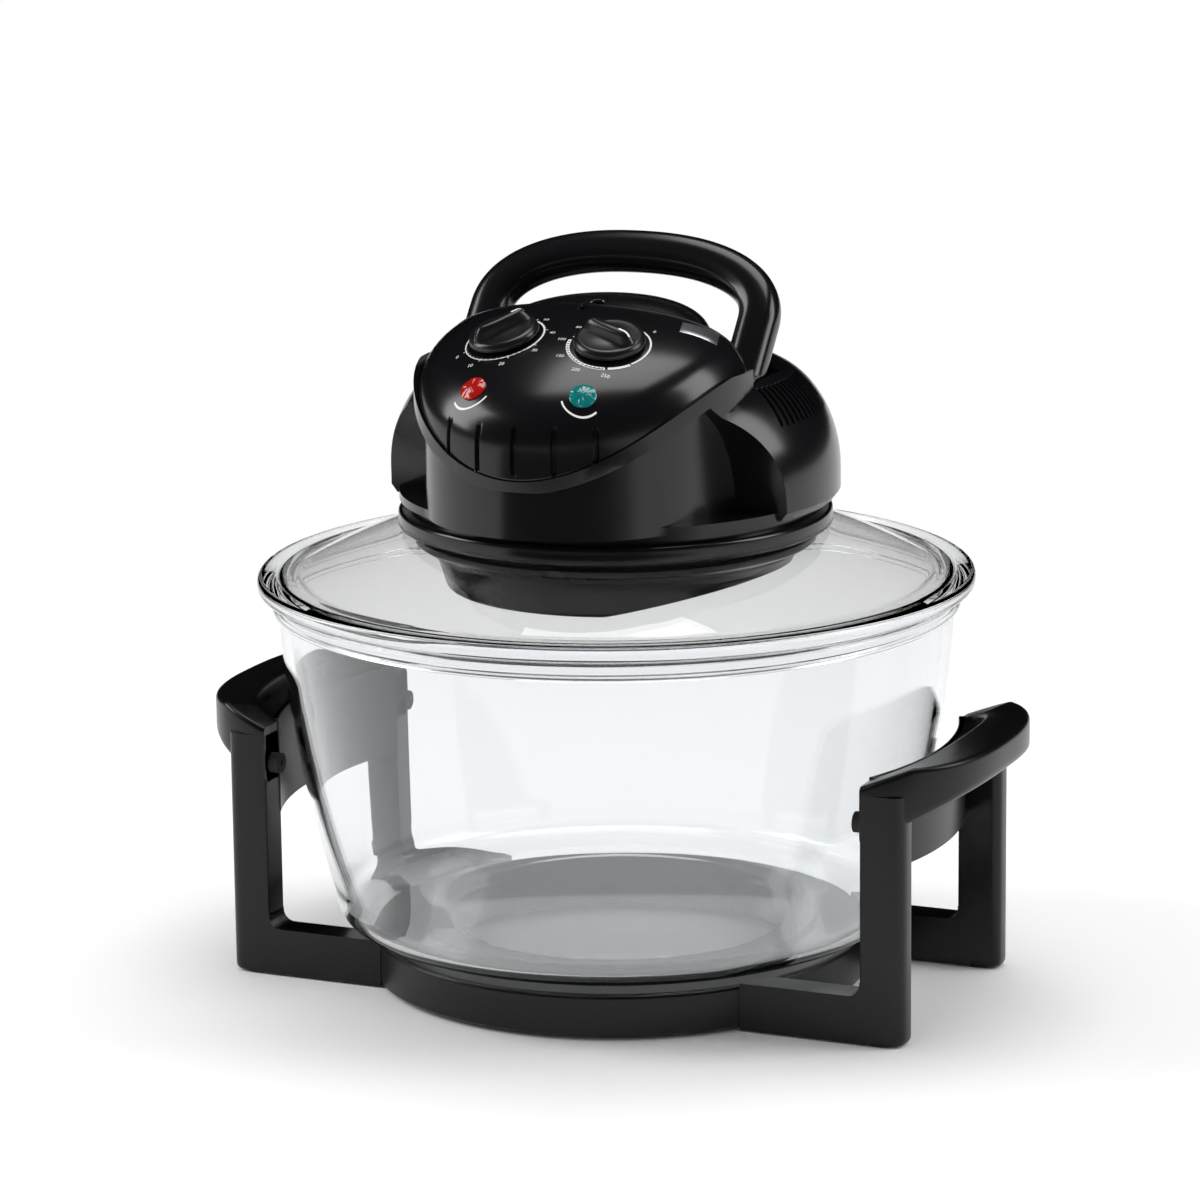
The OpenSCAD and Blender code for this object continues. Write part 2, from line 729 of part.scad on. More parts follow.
module control_panel() {
    color(black) difference() {
        translate([0, 0, body_z]) intersection() {
            difference() {
                pillow(panel_a, panel_b, -panel_y, 0, smile_h, 6, 56);
                intersection() {
                    pillow(panel_a - panel_t, panel_b - panel_t, -panel_y, panel_t, smile_h, 6, 56);
                    translate([-200, -200 - seam_y - panel_t, 0]) cube([400, 200, 300]);
                }
            }
            above_smile(0);
            translate([-200, -200 - seam_y, 0]) cube([400, 200, 300]);
        }
        for (i = [0:groove_count - 1]) translate([0, -drum_y, body_z + smile_h + 4])
            rotate(-90 + (i - (groove_count - 1) / 2) * groove_pitch) translate([drum_r - 1.2, -1.2, 0])
                cube([6, 2.4, 21]);
        for (s = [-1, 1]) {
            on_panel(s * knob_x, -knob_y) translate([0, 0, -12]) cylinder(r = bush_r + push_gap, h = 20);
            on_panel(s * lens_x, -lens_y) translate([0, 0, -12]) cylinder(r = lens_r + push_gap, h = 24);
        }
        // Room for the motor in the rear wall
        translate([0, 0, bracket_z]) cylinder(r = motor_r + 1, h = motor_h + 4);
    }
}

module lens() {
    proud = 2.2;
    ball = (lens_r * lens_r + proud * proud) / (2 * proud);
    translate([0, 0, -5]) cylinder(r = lens_r, h = 5);
    intersection() {
        translate([0, 0, -0.01]) cylinder(r = lens_r, h = proud + 1);
        translate([0, 0, proud - ball]) sphere(r = ball);
    }
}

module red_lens() {
    color("#b3201c") on_panel(-lens_x, -lens_y) lens();
}

module green_lens() {
    color("#1f7f78") on_panel(lens_x, -lens_y) lens();
}

module pilot_lamps() {
    color("#d9b38c") for (s = [-1, 1]) on_panel(s * lens_x, -lens_y) translate([0, 0, -19])
        cylinder(r = 3, h = 14);
}

// A clockwork or thermostat block behind the panel, with a bush for its spindle
module control_block(w, d, h) {
    difference() {
        union() {
            translate([-w / 2, -d / 2, -block_drop - h]) cube([w, d, h]);
            translate([0, 0, -block_drop - 0.01]) cylinder(r = bush_r, h = block_drop + 0.3);
        }
        translate([0, 0, -16]) cylinder(r = spindle_r + turn_gap, h = 20);
    }
}

module timer_mechanism() {
    color(steel) on_panel(-knob_x, -knob_y) {
        control_block(36, 32, 22);
        translate([0, 0, -block_drop - 25]) cylinder(r = 14, h = 3);
    }
}

module thermostat() {
    color(steel) on_panel(knob_x, -knob_y) control_block(28, 26, 18);
}

module spindle() {
    translate([0, 0, -15]) cylinder(r = spindle_r, h = 15 + knob_base_h + 4);
}

module timer_spindle() {
    color(steel) on_panel(-knob_x, -knob_y) spindle();
}

module temperature_spindle() {
    color(steel) on_panel(knob_x, -knob_y) spindle();
}

// A round skirt with a tapered finger bar across it
module knob(turn) {
    lift = 0.7;
    difference() {
        union() {
            translate([0, 0, lift]) rotate_extrude() polygon(concat([[0, 0], [knob_r, 0]],
                arc(knob_r - 3, knob_base_h - 3, 3, 3, 0, 90, 5), [[0, knob_base_h + 1]]));
            rotate(turn) hull() {
                for (s = [-1, 1]) {
                    translate([s * (knob_r - 5), 0, knob_base_h - 1])
                        cylinder(r1 = 4.5, r2 = 3.5, h = 2, $fn = 32);
                    translate([s * (knob_r - 8), 0, knob_h - 3]) sphere(r = 3, $fn = 24);
                }
            }
        }
        translate([0, 0, -1]) cylinder(r = spindle_r, h = knob_base_h + 5);
    }
}

module timer_knob() {
    color(dark) on_panel(-knob_x, -knob_y) knob(50);
}

module temperature_knob() {
    color(dark) on_panel(knob_x, -knob_y) knob(-20);
}

// Handle

grip_mid = grip_reach - grip_w / 2;
grip_foot = 38;
cam_drop = 2.1;

// Middle line of the handle, from the left pivot over the top to the right one
function grip_line() = concat(
    [for (v = [0:7.5:grip_foot - 1]) [-grip_x, v]],
    [for (t = [180:-6:0]) [grip_x * sign(cos(t)) * pow(abs(cos(t)), 2 / 2.25),
        grip_foot + (grip_mid - grip_foot) * pow(abs(sin(t)), 2 / 2.25)]],
    [for (v = [grip_foot - 7.5:-7.5:0]) [grip_x, v]]);

module grip_bar() {
    line = grip_line();
    last = len(line) - 1;
    rings = [for (i = [0:last]) let (
            p = line[max(0, i - 1)], q = line[min(last, i + 1)],
            d = (q - p) / norm(q - p), n = [-d.y, d.x])
        [for (j = [0:15]) let (a = 360 * j / 16,
                u = grip_w / 2 * sign(cos(a)) * pow(abs(cos(a)), 0.75),
                w = grip_t / 2 * sign(sin(a)) * pow(abs(sin(a)), 0.75))
            [line[i].x + n.x * u, w, line[i].y + n.y * u]]];
    skin(rings);
}

// Round foot of a handle leg, with a cam that lets the switch rise as the handle is stood upright
module grip_cam() {
    from = 320;
    function cam_r(a) = grip_t / 2 - (a > 230 ? cam_drop * max(0, min(1.5, (from - a) / grip_lean)) : 0);
    rotate([90, 0, 90]) linear_extrude(grip_w)
        polygon([for (a = [0:10:350]) [cam_r(a) * cos(a), cam_r(a) * sin(a)]]);
}

module carry_handle() {
    color(black) translate([0, -pivot_y, body_z + pivot_h]) rotate([-grip_lean, 0, 0]) difference() {
        union() {
            grip_bar();
            for (x = [-grip_x, grip_x]) translate([x - grip_w / 2, 0, 0]) grip_cam();
        }
        both_sides() translate([grip_x - grip_w, 0, 0]) rotate([0, 90, 0])
            cylinder(r = pivot_r + turn_gap, h = 2 * grip_w);
    }
}

module handle_pins() {
    color(steel) both_sides() translate([grip_x - well_w / 2 - well_wall, -pivot_y, body_z + pivot_h])
        rotate([0, 90, 0]) cylinder(r = pivot_r, h = well_w + 2 * well_wall);
}

switch_top = well_z - well_floor;

module safety_switch() {
    color("#7d1f1a") translate([grip_x, -pivot_y, body_z + switch_top]) difference() {
        translate([-5, -10, -16]) cube([10, 20, 16]);
        translate([0, 0, -10]) cylinder(r = plunger_r + turn_gap, h = 12);
    }
}

module switch_plunger() {
    tip = pivot_h - grip_t / 2 - rest_gap;
    length = 12;
    color("#e8e4d8") translate([grip_x, -pivot_y, body_z + tip - length])
        cylinder(r = plunger_r, h = length);
}

// Heater

heater_z = collar_z - heater_h;
slope_x0 = 25;

lug_t = 3;

// Space below the slanted floor, lifted by a wall thickness
module below_floor(lift) {
    far = 120;
    rotate([90, 0, 0]) translate([0, 0, -far]) linear_extrude(2 * far)
        polygon([[-far, heater_z + lift], [slope_x0, heater_z + lift],
            [far, heater_z + lift + (far - slope_x0) * heater_slope],
            [far, heater_z - 60], [-far, heater_z - 60]]);
}

module heater_form(inset) {
    difference() {
        translate([0, 0, heater_z]) rotate_extrude($fn = 160)
            polygon(concat([[0, 0], [heater_r - 10 - inset, 0]],
                arc(heater_r - 10 - inset, 4, 4, 4, -70, -20, 4),
                [[heater_r - 3 - inset, 14], [heater_r - inset, 18],
                [heater_r - inset, heater_h], [0, heater_h]]));
        below_floor(inset);
    }
}

module heater_housing() {
    color(black) difference() {
        union() {
            difference() {
                heater_form(0);
                heater_form(heater_wall);
                translate([0, 0, heater_z + heater_h - 1]) cylinder(r = heater_r - heater_wall, h = 5);
            }
            // Lugs for the head screws
            intersection() {
                at_head_screws() translate([-3.4, -6, collar_z - lug_t]) cube([12, 12, lug_t]);
                translate([0, 0, heater_z]) cylinder(r = heater_r - 1, h = heater_h);
            }
        }
        translate([0, 0, heater_z - 20]) cylinder(r = heater_mouth_r, h = 40);
        at_head_screws() translate([0, 0, collar_z - 8]) cylinder(r = head_screw_rad + 0.2, h = 20);
    }
}

module head_screws() {
    color(steel) at_head_screws() {
        translate([0, 0, collar_z - lug_t - 2.4]) cylinder(r = head_screw_head, h = 2.4);
        translate([0, 0, collar_z - lug_t - 1]) cylinder(r = head_screw_rad, h = collar_h + neck_h + 14);
    }
}

module element_guard() {
    color(steel) difference() {
        intersection() {
            difference() {
                translate([0, 0, heater_z]) cylinder(r = heater_mouth_r + 5, h = 30);
                below_floor(heater_wall);
            }
            below_floor(heater_wall + sheet_t);
        }
        for (ring = [[16, 8], [28, 14], [40, 20], [52, 26]]) for (i = [0:ring[1] - 1])
            rotate(360 * i / ring[1]) translate([ring[0], 0, heater_z - 5])
                cylinder(r = 4, h = 40, $fn = 24);
    }
}

// Underside of the reflector, from the bottom of the collar
reflector_d = -6.6;
module reflector() {
    step = collar_in_r - 0.8;
    flange = collar_in_r + 1.5;
    color("#d8dadd") rotate_extrude($fn = 128) translate([0, collar_z]) polygon([[6, reflector_d + sheet_t],
        [step - 3.2, reflector_d + sheet_t], [step, reflector_d - 1.4], [step, 0], [flange, 0],
        [flange, -sheet_t], [step + sheet_t, -sheet_t], [step + sheet_t, reflector_d - 1.4 - sheet_t],
        [step - 2.8, reflector_d], [6, reflector_d]]);
}

tube_z = heater_z + 19;
holder_half = 9;
module halogen_tube() {
    color([0.95, 0.9, 0.8, 0.6]) translate([0, 0, tube_z]) rotate(90 + holder_half)
        rotate_extrude(angle = 360 - 2 * holder_half) translate([lamp_ring_r, 0])
            circle(r = lamp_r, $fn = 32);
}

module tube_holders() {
    block = 11;
    high = collar_z + reflector_d - tube_z + block / 2;
    color("#ece7dc") for (s = [-1, 1]) translate([0, 0, tube_z - block / 2]) rotate(90 + s * holder_half)
        translate([lamp_ring_r - block / 2, s > 0 ? -8 : 0, 0]) cube([block, 8, high]);
}

module heat_shield() {
    color(steel) translate([0, 0, collar_z + collar_floor]) difference() {
        cylinder(r = collar_in_r + 2.5, h = sheet_t);
        translate([0, 0, -1]) cylinder(r = 6, h = 4);
        at_head_screws() translate([0, 0, -1]) cylinder(r = post_r + seam_gap, h = 4);
    }
}

bracket_z = collar_z + 22;
module motor_bracket() {
    leg = 3;
    leg_r = collar_in_r - 28;
    foot_z = collar_z + collar_floor + sheet_t;
    color(steel) difference() {
        union() {
            for (a = [0, 90]) rotate(a) translate([4 - leg_r, -12, bracket_z]) cube([2 * leg_r - 8, 24, 2]);
            for (a = [0:90:270]) rotate(a) translate([leg_r, 0, foot_z]) {
                cylinder(r = leg, h = bracket_z - foot_z + 2);
                translate([-8, -leg, bracket_z - foot_z]) cube([8, 2 * leg, 2]);
            }
        }
        translate([0, 0, bracket_z - 1]) cylinder(r = 6, h = 4);
    }
}

module motor() {
    z = bracket_z + 2;
    color("#8a8d91") difference() {
        union() {
            translate([0, 0, z]) cylinder(r = motor_r - 4, h = 5);
            translate([0, 0, z + 5]) cylinder(r = motor_r, h = motor_h - 10);
            translate([0, 0, z + motor_h - 5]) cylinder(r = motor_r - 4, h = 5);
        }
        translate([0, 0, z - 1]) cylinder(r = shaft_r + turn_gap, h = 13);
    }
}

fan_z = heater_z + 8.5;
fan_h = 10;
cooler_z = collar_z + 9;

module motor_shaft() {
    color(steel) translate([0, 0, fan_z - 1]) cylinder(r = shaft_r, h = bracket_z + 11 - fan_z);
}

// A hub with slanted blades
module fan(r, h, pitch) {
    difference() {
        union() {
            cylinder(r = 9, h = h);
            for (i = [0:blade_count - 1]) rotate(360 * i / blade_count) intersection() {
                translate([8, -h, 0]) cube([r - 8, 2 * h, h]);
                translate([0, 0, h / 2]) rotate([pitch, 0, 0]) translate([8, -h, -0.7])
                    cube([r - 8, 2 * h, 1.4]);
            }
        }
        translate([0, 0, -1]) cylinder(r = shaft_r, h = h + 2);
    }
}

module convection_fan() {
    color(steel) translate([0, 0, fan_z]) fan(fan_r, fan_h, 55);
}

module cooling_fan() {
    color(dark) translate([0, 0, cooler_z]) fan(cooler_r, 9, 40);
}

module terminal_block() {
    color("#ded9cc") translate([-20, body_r - 27.5, body_z + lip_h]) difference() {
        cube([40, 16, 12]);
        for (i = [0:3]) translate([5 + 10 * i, 8, 4]) cylinder(r = 2.5, h = 20);
    }
}

module cord_gland() {
    color(dark) translate([0, body_r, body_z + gland_h]) rotate([-90, 0, 0]) difference() {
        union() {
            translate([0, 0, -7.5]) cylinder(r = gland_r, h = 10);
            translate([0, 0, 0.1]) cylinder(r1 = gland_r + 3, r2 = gland_r + 1.5, h = 4);
        }
        translate([0, 0, -10]) cylinder(r = 3.6, h = 20);
    }
}

base_ring();
side_frame_left();
side_frame_right();
bowl_buffers();
stand_screws();
rubber_feet();
glass_bowl();
glass_lid();
lid_gasket();
clamp_ring();
collar();
main_housing();
top_cover();
control_panel();
red_lens();
green_lens();
pilot_lamps();
timer_mechanism();
thermostat();
timer_knob();
timer_spindle();
temperature_knob();
temperature_spindle();
carry_handle();
handle_pins();
safety_switch();
switch_plunger();
heater_housing();
reflector();
halogen_tube();
tube_holders();
element_guard();
heat_shield();
motor_bracket();
motor();
motor_shaft();
convection_fan();
cooling_fan();
terminal_block();
cord_gland();
head_screws();
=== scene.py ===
"""Looks of the halogen oven: a glass bowl on a black stand, and a glass lid that carries a glossy black head."""
import json
from math import asin, atan2, ceil, copysign, cos, degrees, hypot, pi, radians, sin, sqrt

import bmesh
import bpy
from mathutils import Matrix, Vector

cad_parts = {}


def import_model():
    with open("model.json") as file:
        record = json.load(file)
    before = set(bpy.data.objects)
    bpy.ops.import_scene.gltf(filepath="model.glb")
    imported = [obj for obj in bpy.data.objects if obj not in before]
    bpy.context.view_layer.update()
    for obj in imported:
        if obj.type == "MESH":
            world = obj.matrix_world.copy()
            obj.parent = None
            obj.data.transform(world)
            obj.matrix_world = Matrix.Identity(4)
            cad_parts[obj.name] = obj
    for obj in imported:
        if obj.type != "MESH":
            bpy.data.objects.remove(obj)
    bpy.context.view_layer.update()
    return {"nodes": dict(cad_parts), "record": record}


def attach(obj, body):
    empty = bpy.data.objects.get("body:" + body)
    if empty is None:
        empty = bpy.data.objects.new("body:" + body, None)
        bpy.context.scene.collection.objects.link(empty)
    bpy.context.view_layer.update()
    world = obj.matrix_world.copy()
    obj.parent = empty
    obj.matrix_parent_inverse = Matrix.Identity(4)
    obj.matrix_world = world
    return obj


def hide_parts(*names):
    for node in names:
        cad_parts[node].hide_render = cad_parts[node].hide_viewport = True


MM = 0.001
WELD = 2e-6          # points this close, in metres, are one point
SLIVER = 1e-6        # shorter edges, in metres, are taken out
FLAT = radians(0.6)  # faces that turn less than this are one face

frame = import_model()
nodes = frame["nodes"]
body_of_node = {n: b for b, members in frame["record"]["behaviour"]["bodies"].items() for n in members}
slot_of_node = {s["node"]: s["material_slot"] for s in frame["record"]["subparts"]}

# Sizes of the head in millimetres and degrees. Heights are over BODY_Z, the foot of the main housing.
BODY_Z = 240.1
PANEL_A = 81
PANEL_B = 89
PANEL_Y = -30
PANEL_CROWN = 98.3
PANEL_ROLL = 200
PANEL_CROSS = 300
PANEL_STEEP = 6
PANEL_T = 2.5
ROLL_Y = -2
SMILE_H = 28
SMILE_RISE = 42
SEAM_Y = -25
DECK_H = 66
KNOB_X = 27
KNOB_Y = -67
LENS_X = 28
LENS_Y = -101
LENS_R = 6.5
PIVOT = Vector((0, -13, 56 + BODY_Z))
GRIP_LEAN = 40
GRIP_X = 70.4
GRIP_REACH = 84.6
GRIP_W = 20
GRIP_T = 18
GRIP_FOOT = 38


# Meshes

def linked(name, data):
    """A new object in the scene."""
    obj = bpy.data.objects.new(name, data)
    bpy.context.scene.collection.objects.link(obj)
    return obj


def evaluated_mesh(obj):
    """A plain mesh of what an object shows after its modifiers."""
    bpy.context.view_layer.update()
    return bpy.data.meshes.new_from_object(obj.evaluated_get(bpy.context.evaluated_depsgraph_get()))


def weld(bm):
    """Joins points that lie together and takes out edges without length."""
    bmesh.ops.remove_doubles(bm, verts=bm.verts, dist=WELD)
    bmesh.ops.dissolve_degenerate(bm, edges=bm.edges, dist=SLIVER)


def add(name, verts, faces, finish, node=None, body=None, slot=None, sharp=32):
    """A smooth piece from points in millimetres. It stands for a CAD node, or rides on a body."""
    mesh = bpy.data.meshes.new(name)
    mesh.from_pydata([Vector(v) * MM for v in verts], [], faces)
    bm = bmesh.new()
    bm.from_mesh(mesh)
    weld(bm)
    bmesh.ops.recalc_face_normals(bm, faces=bm.faces)
    bm.to_mesh(mesh)
    bm.free()
    return place(name, mesh, finish, node, body, slot, sharp)


def place(name, mesh, finish, node=None, body=None, slot=None, sharp=32):
    """Shades a mesh smooth between its sharp edges, and notes what hand_over() needs to know."""
    for p in mesh.polygons:
        p.use_smooth = True
    mesh.set_sharp_from_angle(angle=radians(sharp))
    obj = linked(name, mesh)
    mesh.materials.append(finish)
    obj["wanted"] = [body or body_of_node[node], node or "", slot or slot_of_node[node]]
    return obj


def hand_over(obj):
    """Applies what modifies a piece, then puts it on its body and hides the CAD node that it stands for."""
    body, node, slot = obj["wanted"]
    del obj["wanted"]
    if obj.modifiers:
        done = evaluated_mesh(obj)
        done.name = obj.name
        obj.modifiers.clear()
        obj.data = done
    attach(obj, body)
    if node:
        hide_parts(node)


def turned(outline, steps):
    """Points and faces of a closed outline of (radius, height) points that is turned about Z."""
    verts, faces, n = [], [], len(outline)
    for i in range(steps):
        a = 2 * pi * i / steps
        verts += [(r * cos(a), r * sin(a), z) for r, z in outline]
    for i in range(steps):
        k = (i + 1) % steps
        for j in range(n):
            m = (j + 1) % n
            if outline[j][0] > 0 or outline[m][0] > 0:
                faces.append((i * n + j, k * n + j, k * n + m, i * n + m))
    return verts, faces


def rings_to_solid(rings):
    """Points and faces that join closed rings of equal length and close both ends."""
    n = len(rings[0])
    verts = [v for ring in rings for v in ring]
    faces = [(i * n + j, i * n + (j + 1) % n, (i + 1) * n + (j + 1) % n, (i + 1) * n + j)
             for i in range(len(rings) - 1) for j in range(n)]
    faces.append(tuple(range(n - 1, -1, -1)))
    faces.append(tuple(range(len(verts) - n, len(verts))))
    return verts, faces


def joined(parts):
    """Several pairs of points and faces as one pair."""
    verts, faces = [], []
    for v, f in parts:
        faces += [tuple(i + len(verts) for i in face) for face in f]
        verts += v
    return verts, faces


def arc(cx, cy, rx, ry, a0, a1, n):
    """n + 1 points of an ellipse from angle a0 to a1, in degrees."""
    return [(cx + rx * cos(radians(a0 + (a1 - a0) * i / n)), cy + ry * sin(radians(a0 + (a1 - a0) * i / n)))
            for i in range(n + 1)]


def signed_power(v, p):
    return abs(v) ** p * (1 if v >= 0 else -1)


def merged(node, finish, sharp, bevel):
    """A welded, smooth-shaded copy of a CAD node, with its sharp edges rounded."""
    mesh = nodes[node].data.copy()
    mesh.name = node + "_moulding"
    mesh.materials.clear()
    bm = bmesh.new()
    bm.from_mesh(mesh)
    weld(bm)
    bmesh.ops.dissolve_limit(bm, angle_limit=FLAT, verts=bm.verts, edges=bm.edges)
    bm.to_mesh(mesh)
    bm.free()
    while mesh.attributes.get("custom_normal"):
        mesh.attributes.remove(mesh.attributes["custom_normal"])
    obj = place(mesh.name, mesh, finish, node=node, sharp=sharp)
    if bevel:
        edge = obj.modifiers.new("edge", "BEVEL")
        edge.width = bevel * MM
        edge.segments = 2
        edge.limit_method = "ANGLE"
        edge.angle_limit = radians(40)
        edge.use_clamp_overlap = True
        edge.harden_normals = False
    return obj


# Materials

def group(name, inputs, outputs):
    tree = bpy.data.node_groups.new(name, "ShaderNodeTree")
    for label, value in inputs.items():
        socket = tree.interface.new_socket(label, in_out="INPUT", socket_type="NodeSocketFloat")
        socket.default_value = value
    for label in outputs:
        tree.interface.new_socket(label, in_out="OUTPUT", socket_type="NodeSocketFloat")
    return tree, tree.nodes.new("NodeGroupInput"), tree.nodes.new("NodeGroupOutput")


def wired(tree, kind, given, **settings):
    """A new node with its settings, each given input linked to a socket or set to a value."""
    node = tree.nodes.new(kind)
    for label, value in settings.items():
        setattr(node, label, value)
    for label, value in given.items():
        if isinstance(value, bpy.types.NodeSocket):
            tree.links.new(value, node.inputs[label])
        else:
            node.inputs[label].default_value = value
    return node


def object_point(tree):
    return tree.nodes.new("ShaderNodeTexCoord").outputs["Object"]


def noise(tree, scale, detail, rough, point):
    given = {"Scale": scale, "Detail": detail, "Roughness": rough, "Vector": point}
    return wired(tree, "ShaderNodeTexNoise", given).outputs["Fac"]


def math_node(tree, operation, a, b=0):
    return wired(tree, "ShaderNodeMath", {0: a, 1: b}, operation=operation).outputs[0]


def handling_marks():
    """Slow changes of gloss from handling and cleaning, and a little dust."""
    tree, inside, outside = group("handling marks", {"Roughness": 0.3, "Spread": 0.08, "Dust": 0.0},
                                  ["Roughness", "Dust"])
    point = object_point(tree)
    swing = math_node(tree, "SUBTRACT", noise(tree, 22, 4, 0.55, point), 0.5)
    swing = math_node(tree, "MULTIPLY", swing, inside.outputs["Spread"])
    tree.links.new(math_node(tree, "ADD", inside.outputs["Roughness"], swing), outside.inputs["Roughness"])
    speck = math_node(tree, "GREATER_THAN", noise(tree, 420, 2, 0.6, point), 0.74)
    tree.links.new(math_node(tree, "MULTIPLY", speck, inside.outputs["Dust"]), outside.inputs["Dust"])
    return tree


def moulded_grain():
    """Fine spark-eroded grain of moulded plastic, as a height."""
    tree, inside, outside = group("moulded grain", {"Scale": 900.0, "Waviness": 0.3}, ["Height"])
    point = object_point(tree)
    grain = noise(tree, inside.outputs["Scale"], 2, 0.6, point)
    lifted = math_node(tree, "MULTIPLY", noise(tree, 35, 2, 0.4, point), inside.outputs["Waviness"])
    tree.links.new(math_node(tree, "ADD", grain, lifted), outside.inputs["Height"])
    return tree


MARKS = handling_marks()
GRAIN = moulded_grain()


def principled(name, **sockets):
    """A new material with its node tree and its Principled shader, whose sockets are set to the given values."""
    mat = bpy.data.materials.new(name)
    mat.use_nodes = True
    shader = mat.node_tree.nodes["Principled BSDF"]
    for label, value in sockets.items():
        shader.inputs[label.replace("_", " ")].default_value = value
    return mat, mat.node_tree, shader


def add_bump(tree, shader, height, strength, distance):
    bump = wired(tree, "ShaderNodeBump", {"Strength": strength, "Distance": distance, "Height": height})
    tree.links.new(bump.outputs["Normal"], shader.inputs["Normal"])


def material(name, colour, rough, metallic=0.0, spread=0.06, dust=0.0, grain=900.0, wave=0.3, bump=0.05, depth=0.02,
             **sockets):
    """A Principled finish whose gloss, dust and grain come from the two groups above. The depth is in millimetres."""
    mat, tree, shader = principled(name, Metallic=metallic, **sockets)
    marks = wired(tree, "ShaderNodeGroup", {"Roughness": rough, "Spread": spread, "Dust": dust}, node_tree=MARKS)
    tree.links.new(marks.outputs["Roughness"], shader.inputs["Roughness"])
    dusty = [min(1, c * 1.5 + 0.05) for c in colour]
    mix = wired(tree, "ShaderNodeMix", {"A": (*colour, 1), "B": (*dusty, 1), "Factor": marks.outputs["Dust"]},
                data_type="RGBA")
    tree.links.new(mix.outputs["Result"], shader.inputs["Base Color"])
    height = wired(tree, "ShaderNodeGroup", {"Scale": grain, "Waviness": wave}, node_tree=GRAIN)
    add_bump(tree, shader, height.outputs["Height"], bump, depth * MM)
    return mat


GLOSS = material("glossy black moulding", (0.005, 0.005, 0.006), 0.2, spread=0.05, dust=0.06, bump=0.12, depth=0.03)
SATIN = material("satin black moulding", (0.004, 0.004, 0.0045), 0.3, spread=0.08, dust=0.08, bump=0.35, depth=0.04,
                 Specular_IOR_Level=0.34)
KNOB = material("knob plastic", (0.008, 0.008, 0.009), 0.26, spread=0.05, dust=0.05, bump=0.15, depth=0.03)
RUBBER = material("black rubber", (0.02, 0.02, 0.02), 0.75, spread=0.1, dust=0.2, bump=0.4, depth=0.05)
ENAMEL = material("black enamelled steel", (0.014, 0.014, 0.015), 0.28, spread=0.06, dust=0.05, wave=1.2, bump=0.2,
                  depth=0.08)
STEEL = material("plated steel", (0.62, 0.63, 0.65), 0.28, 1.0, spread=0.15, grain=700.0, bump=0.1)
CHROME = material("chromed wire guard", (0.74, 0.75, 0.77), 0.12, 1.0, spread=0.08, bump=0.05)
ALUMINIUM = material("polished aluminium", (0.83, 0.84, 0.85), 0.2, 1.0, spread=0.15, grain=500.0, bump=0.15)
CERAMIC = material("lamp holder ceramic", (0.84, 0.81, 0.75), 0.6, spread=0.1, dust=0.2, bump=0.3, depth=0.06)
CREAM = material("cream plastic", (0.75, 0.72, 0.64), 0.45, spread=0.08, bump=0.2)
DARK_RED = material("switch plastic", (0.3, 0.03, 0.02), 0.4, spread=0.08, bump=0.2)
PRINT = material("white print", (0.82, 0.82, 0.8), 0.45, spread=0.06, bump=0.1)
# Bright metallic finish of a patch that paints the highlight on the panel's right shoulder
HIGHLIGHT_PATCH = material("bare name plate", (0.6, 0.61, 0.63), 0.3, 1.0, spread=0.12, grain=600.0, bump=0.2)
# The lenses' faint emission is a painted glow: the pilot lamps behind them give no light
RED = material("red lens plastic", (0.36, 0.008, 0.006), 0.12, spread=0.04, wave=2.0, bump=0.25, depth=0.2,
               Coat_Weight=0.6, Coat_Roughness=0.05, Emission_Color=(0.5, 0.01, 0.0, 1), Emission_Strength=0.06)
GREEN = material("green lens plastic", (0.004, 0.16, 0.155), 0.12, spread=0.04, wave=2.0, bump=0.25, depth=0.2,
                 Coat_Weight=0.6, Coat_Roughness=0.05, Emission_Color=(0.0, 0.14, 0.13, 1), Emission_Strength=0.06)
LAMP = material("lamp glass", (0.9, 0.62, 0.4), 0.1, spread=0.05, bump=0.05)


def clear(name, colour, ior):
    """Clear glass with the slow ripple of pressed ware."""
    mat, tree, shader = principled(name, Metallic=0.0, Transmission_Weight=1.0, IOR=ior, Base_Color=(*colour, 1),
                                   Roughness=0.0)
    add_bump(tree, shader, noise(tree, 14, 1, 0.3, object_point(tree)), 0.02, 0.002)
    return mat


BOWL_GLASS = clear("clear bowl glass", (0.9, 0.915, 0.925), 1.47)
LID_GLASS = clear("clear lid glass", (0.83, 0.825, 0.815), 1.47)
QUARTZ = clear("quartz tube", (0.97, 0.93, 0.86), 1.45)

FINISH = {
    "base_ring": SATIN, "side_frame_left": SATIN, "side_frame_right": SATIN, "bowl_buffers": RUBBER,
    "stand_screws": STEEL, "rubber_feet": RUBBER, "glass_bowl": BOWL_GLASS, "glass_lid": LID_GLASS,
    "lid_gasket": RUBBER, "clamp_ring": ENAMEL, "collar": GLOSS, "main_housing": GLOSS, "top_cover": GLOSS,
    "control_panel": GLOSS, "red_lens": RED, "green_lens": GREEN, "pilot_lamps": LAMP, "timer_mechanism": STEEL,
    "thermostat": STEEL, "timer_knob": KNOB, "timer_spindle": STEEL, "temperature_knob": KNOB,
    "temperature_spindle": STEEL, "carry_handle": GLOSS, "handle_pins": STEEL, "safety_switch": DARK_RED,
    "switch_plunger": CREAM, "heater_housing": ENAMEL, "reflector": ALUMINIUM, "halogen_tube": QUARTZ,
    "tube_holders": CERAMIC, "element_guard": CHROME, "heat_shield": STEEL, "motor_bracket": STEEL, "motor": STEEL,
    "motor_shaft": STEEL, "convection_fan": ALUMINIUM, "cooling_fan": SATIN, "terminal_block": CREAM,
    "cord_gland": RUBBER, "head_screws": STEEL}

for node, finish in FINISH.items():
    nodes[node].data.materials.clear()
    nodes[node].data.materials.append(finish)

made = []


# Control panel and the cover behind it

def roll(x, y):
    """Height of the rolled surface that the top of the head follows."""
    return PANEL_CROWN - PANEL_ROLL + sqrt(PANEL_ROLL ** 2 - (y - ROLL_Y) ** 2) - x * x / (2 * PANEL_CROSS)


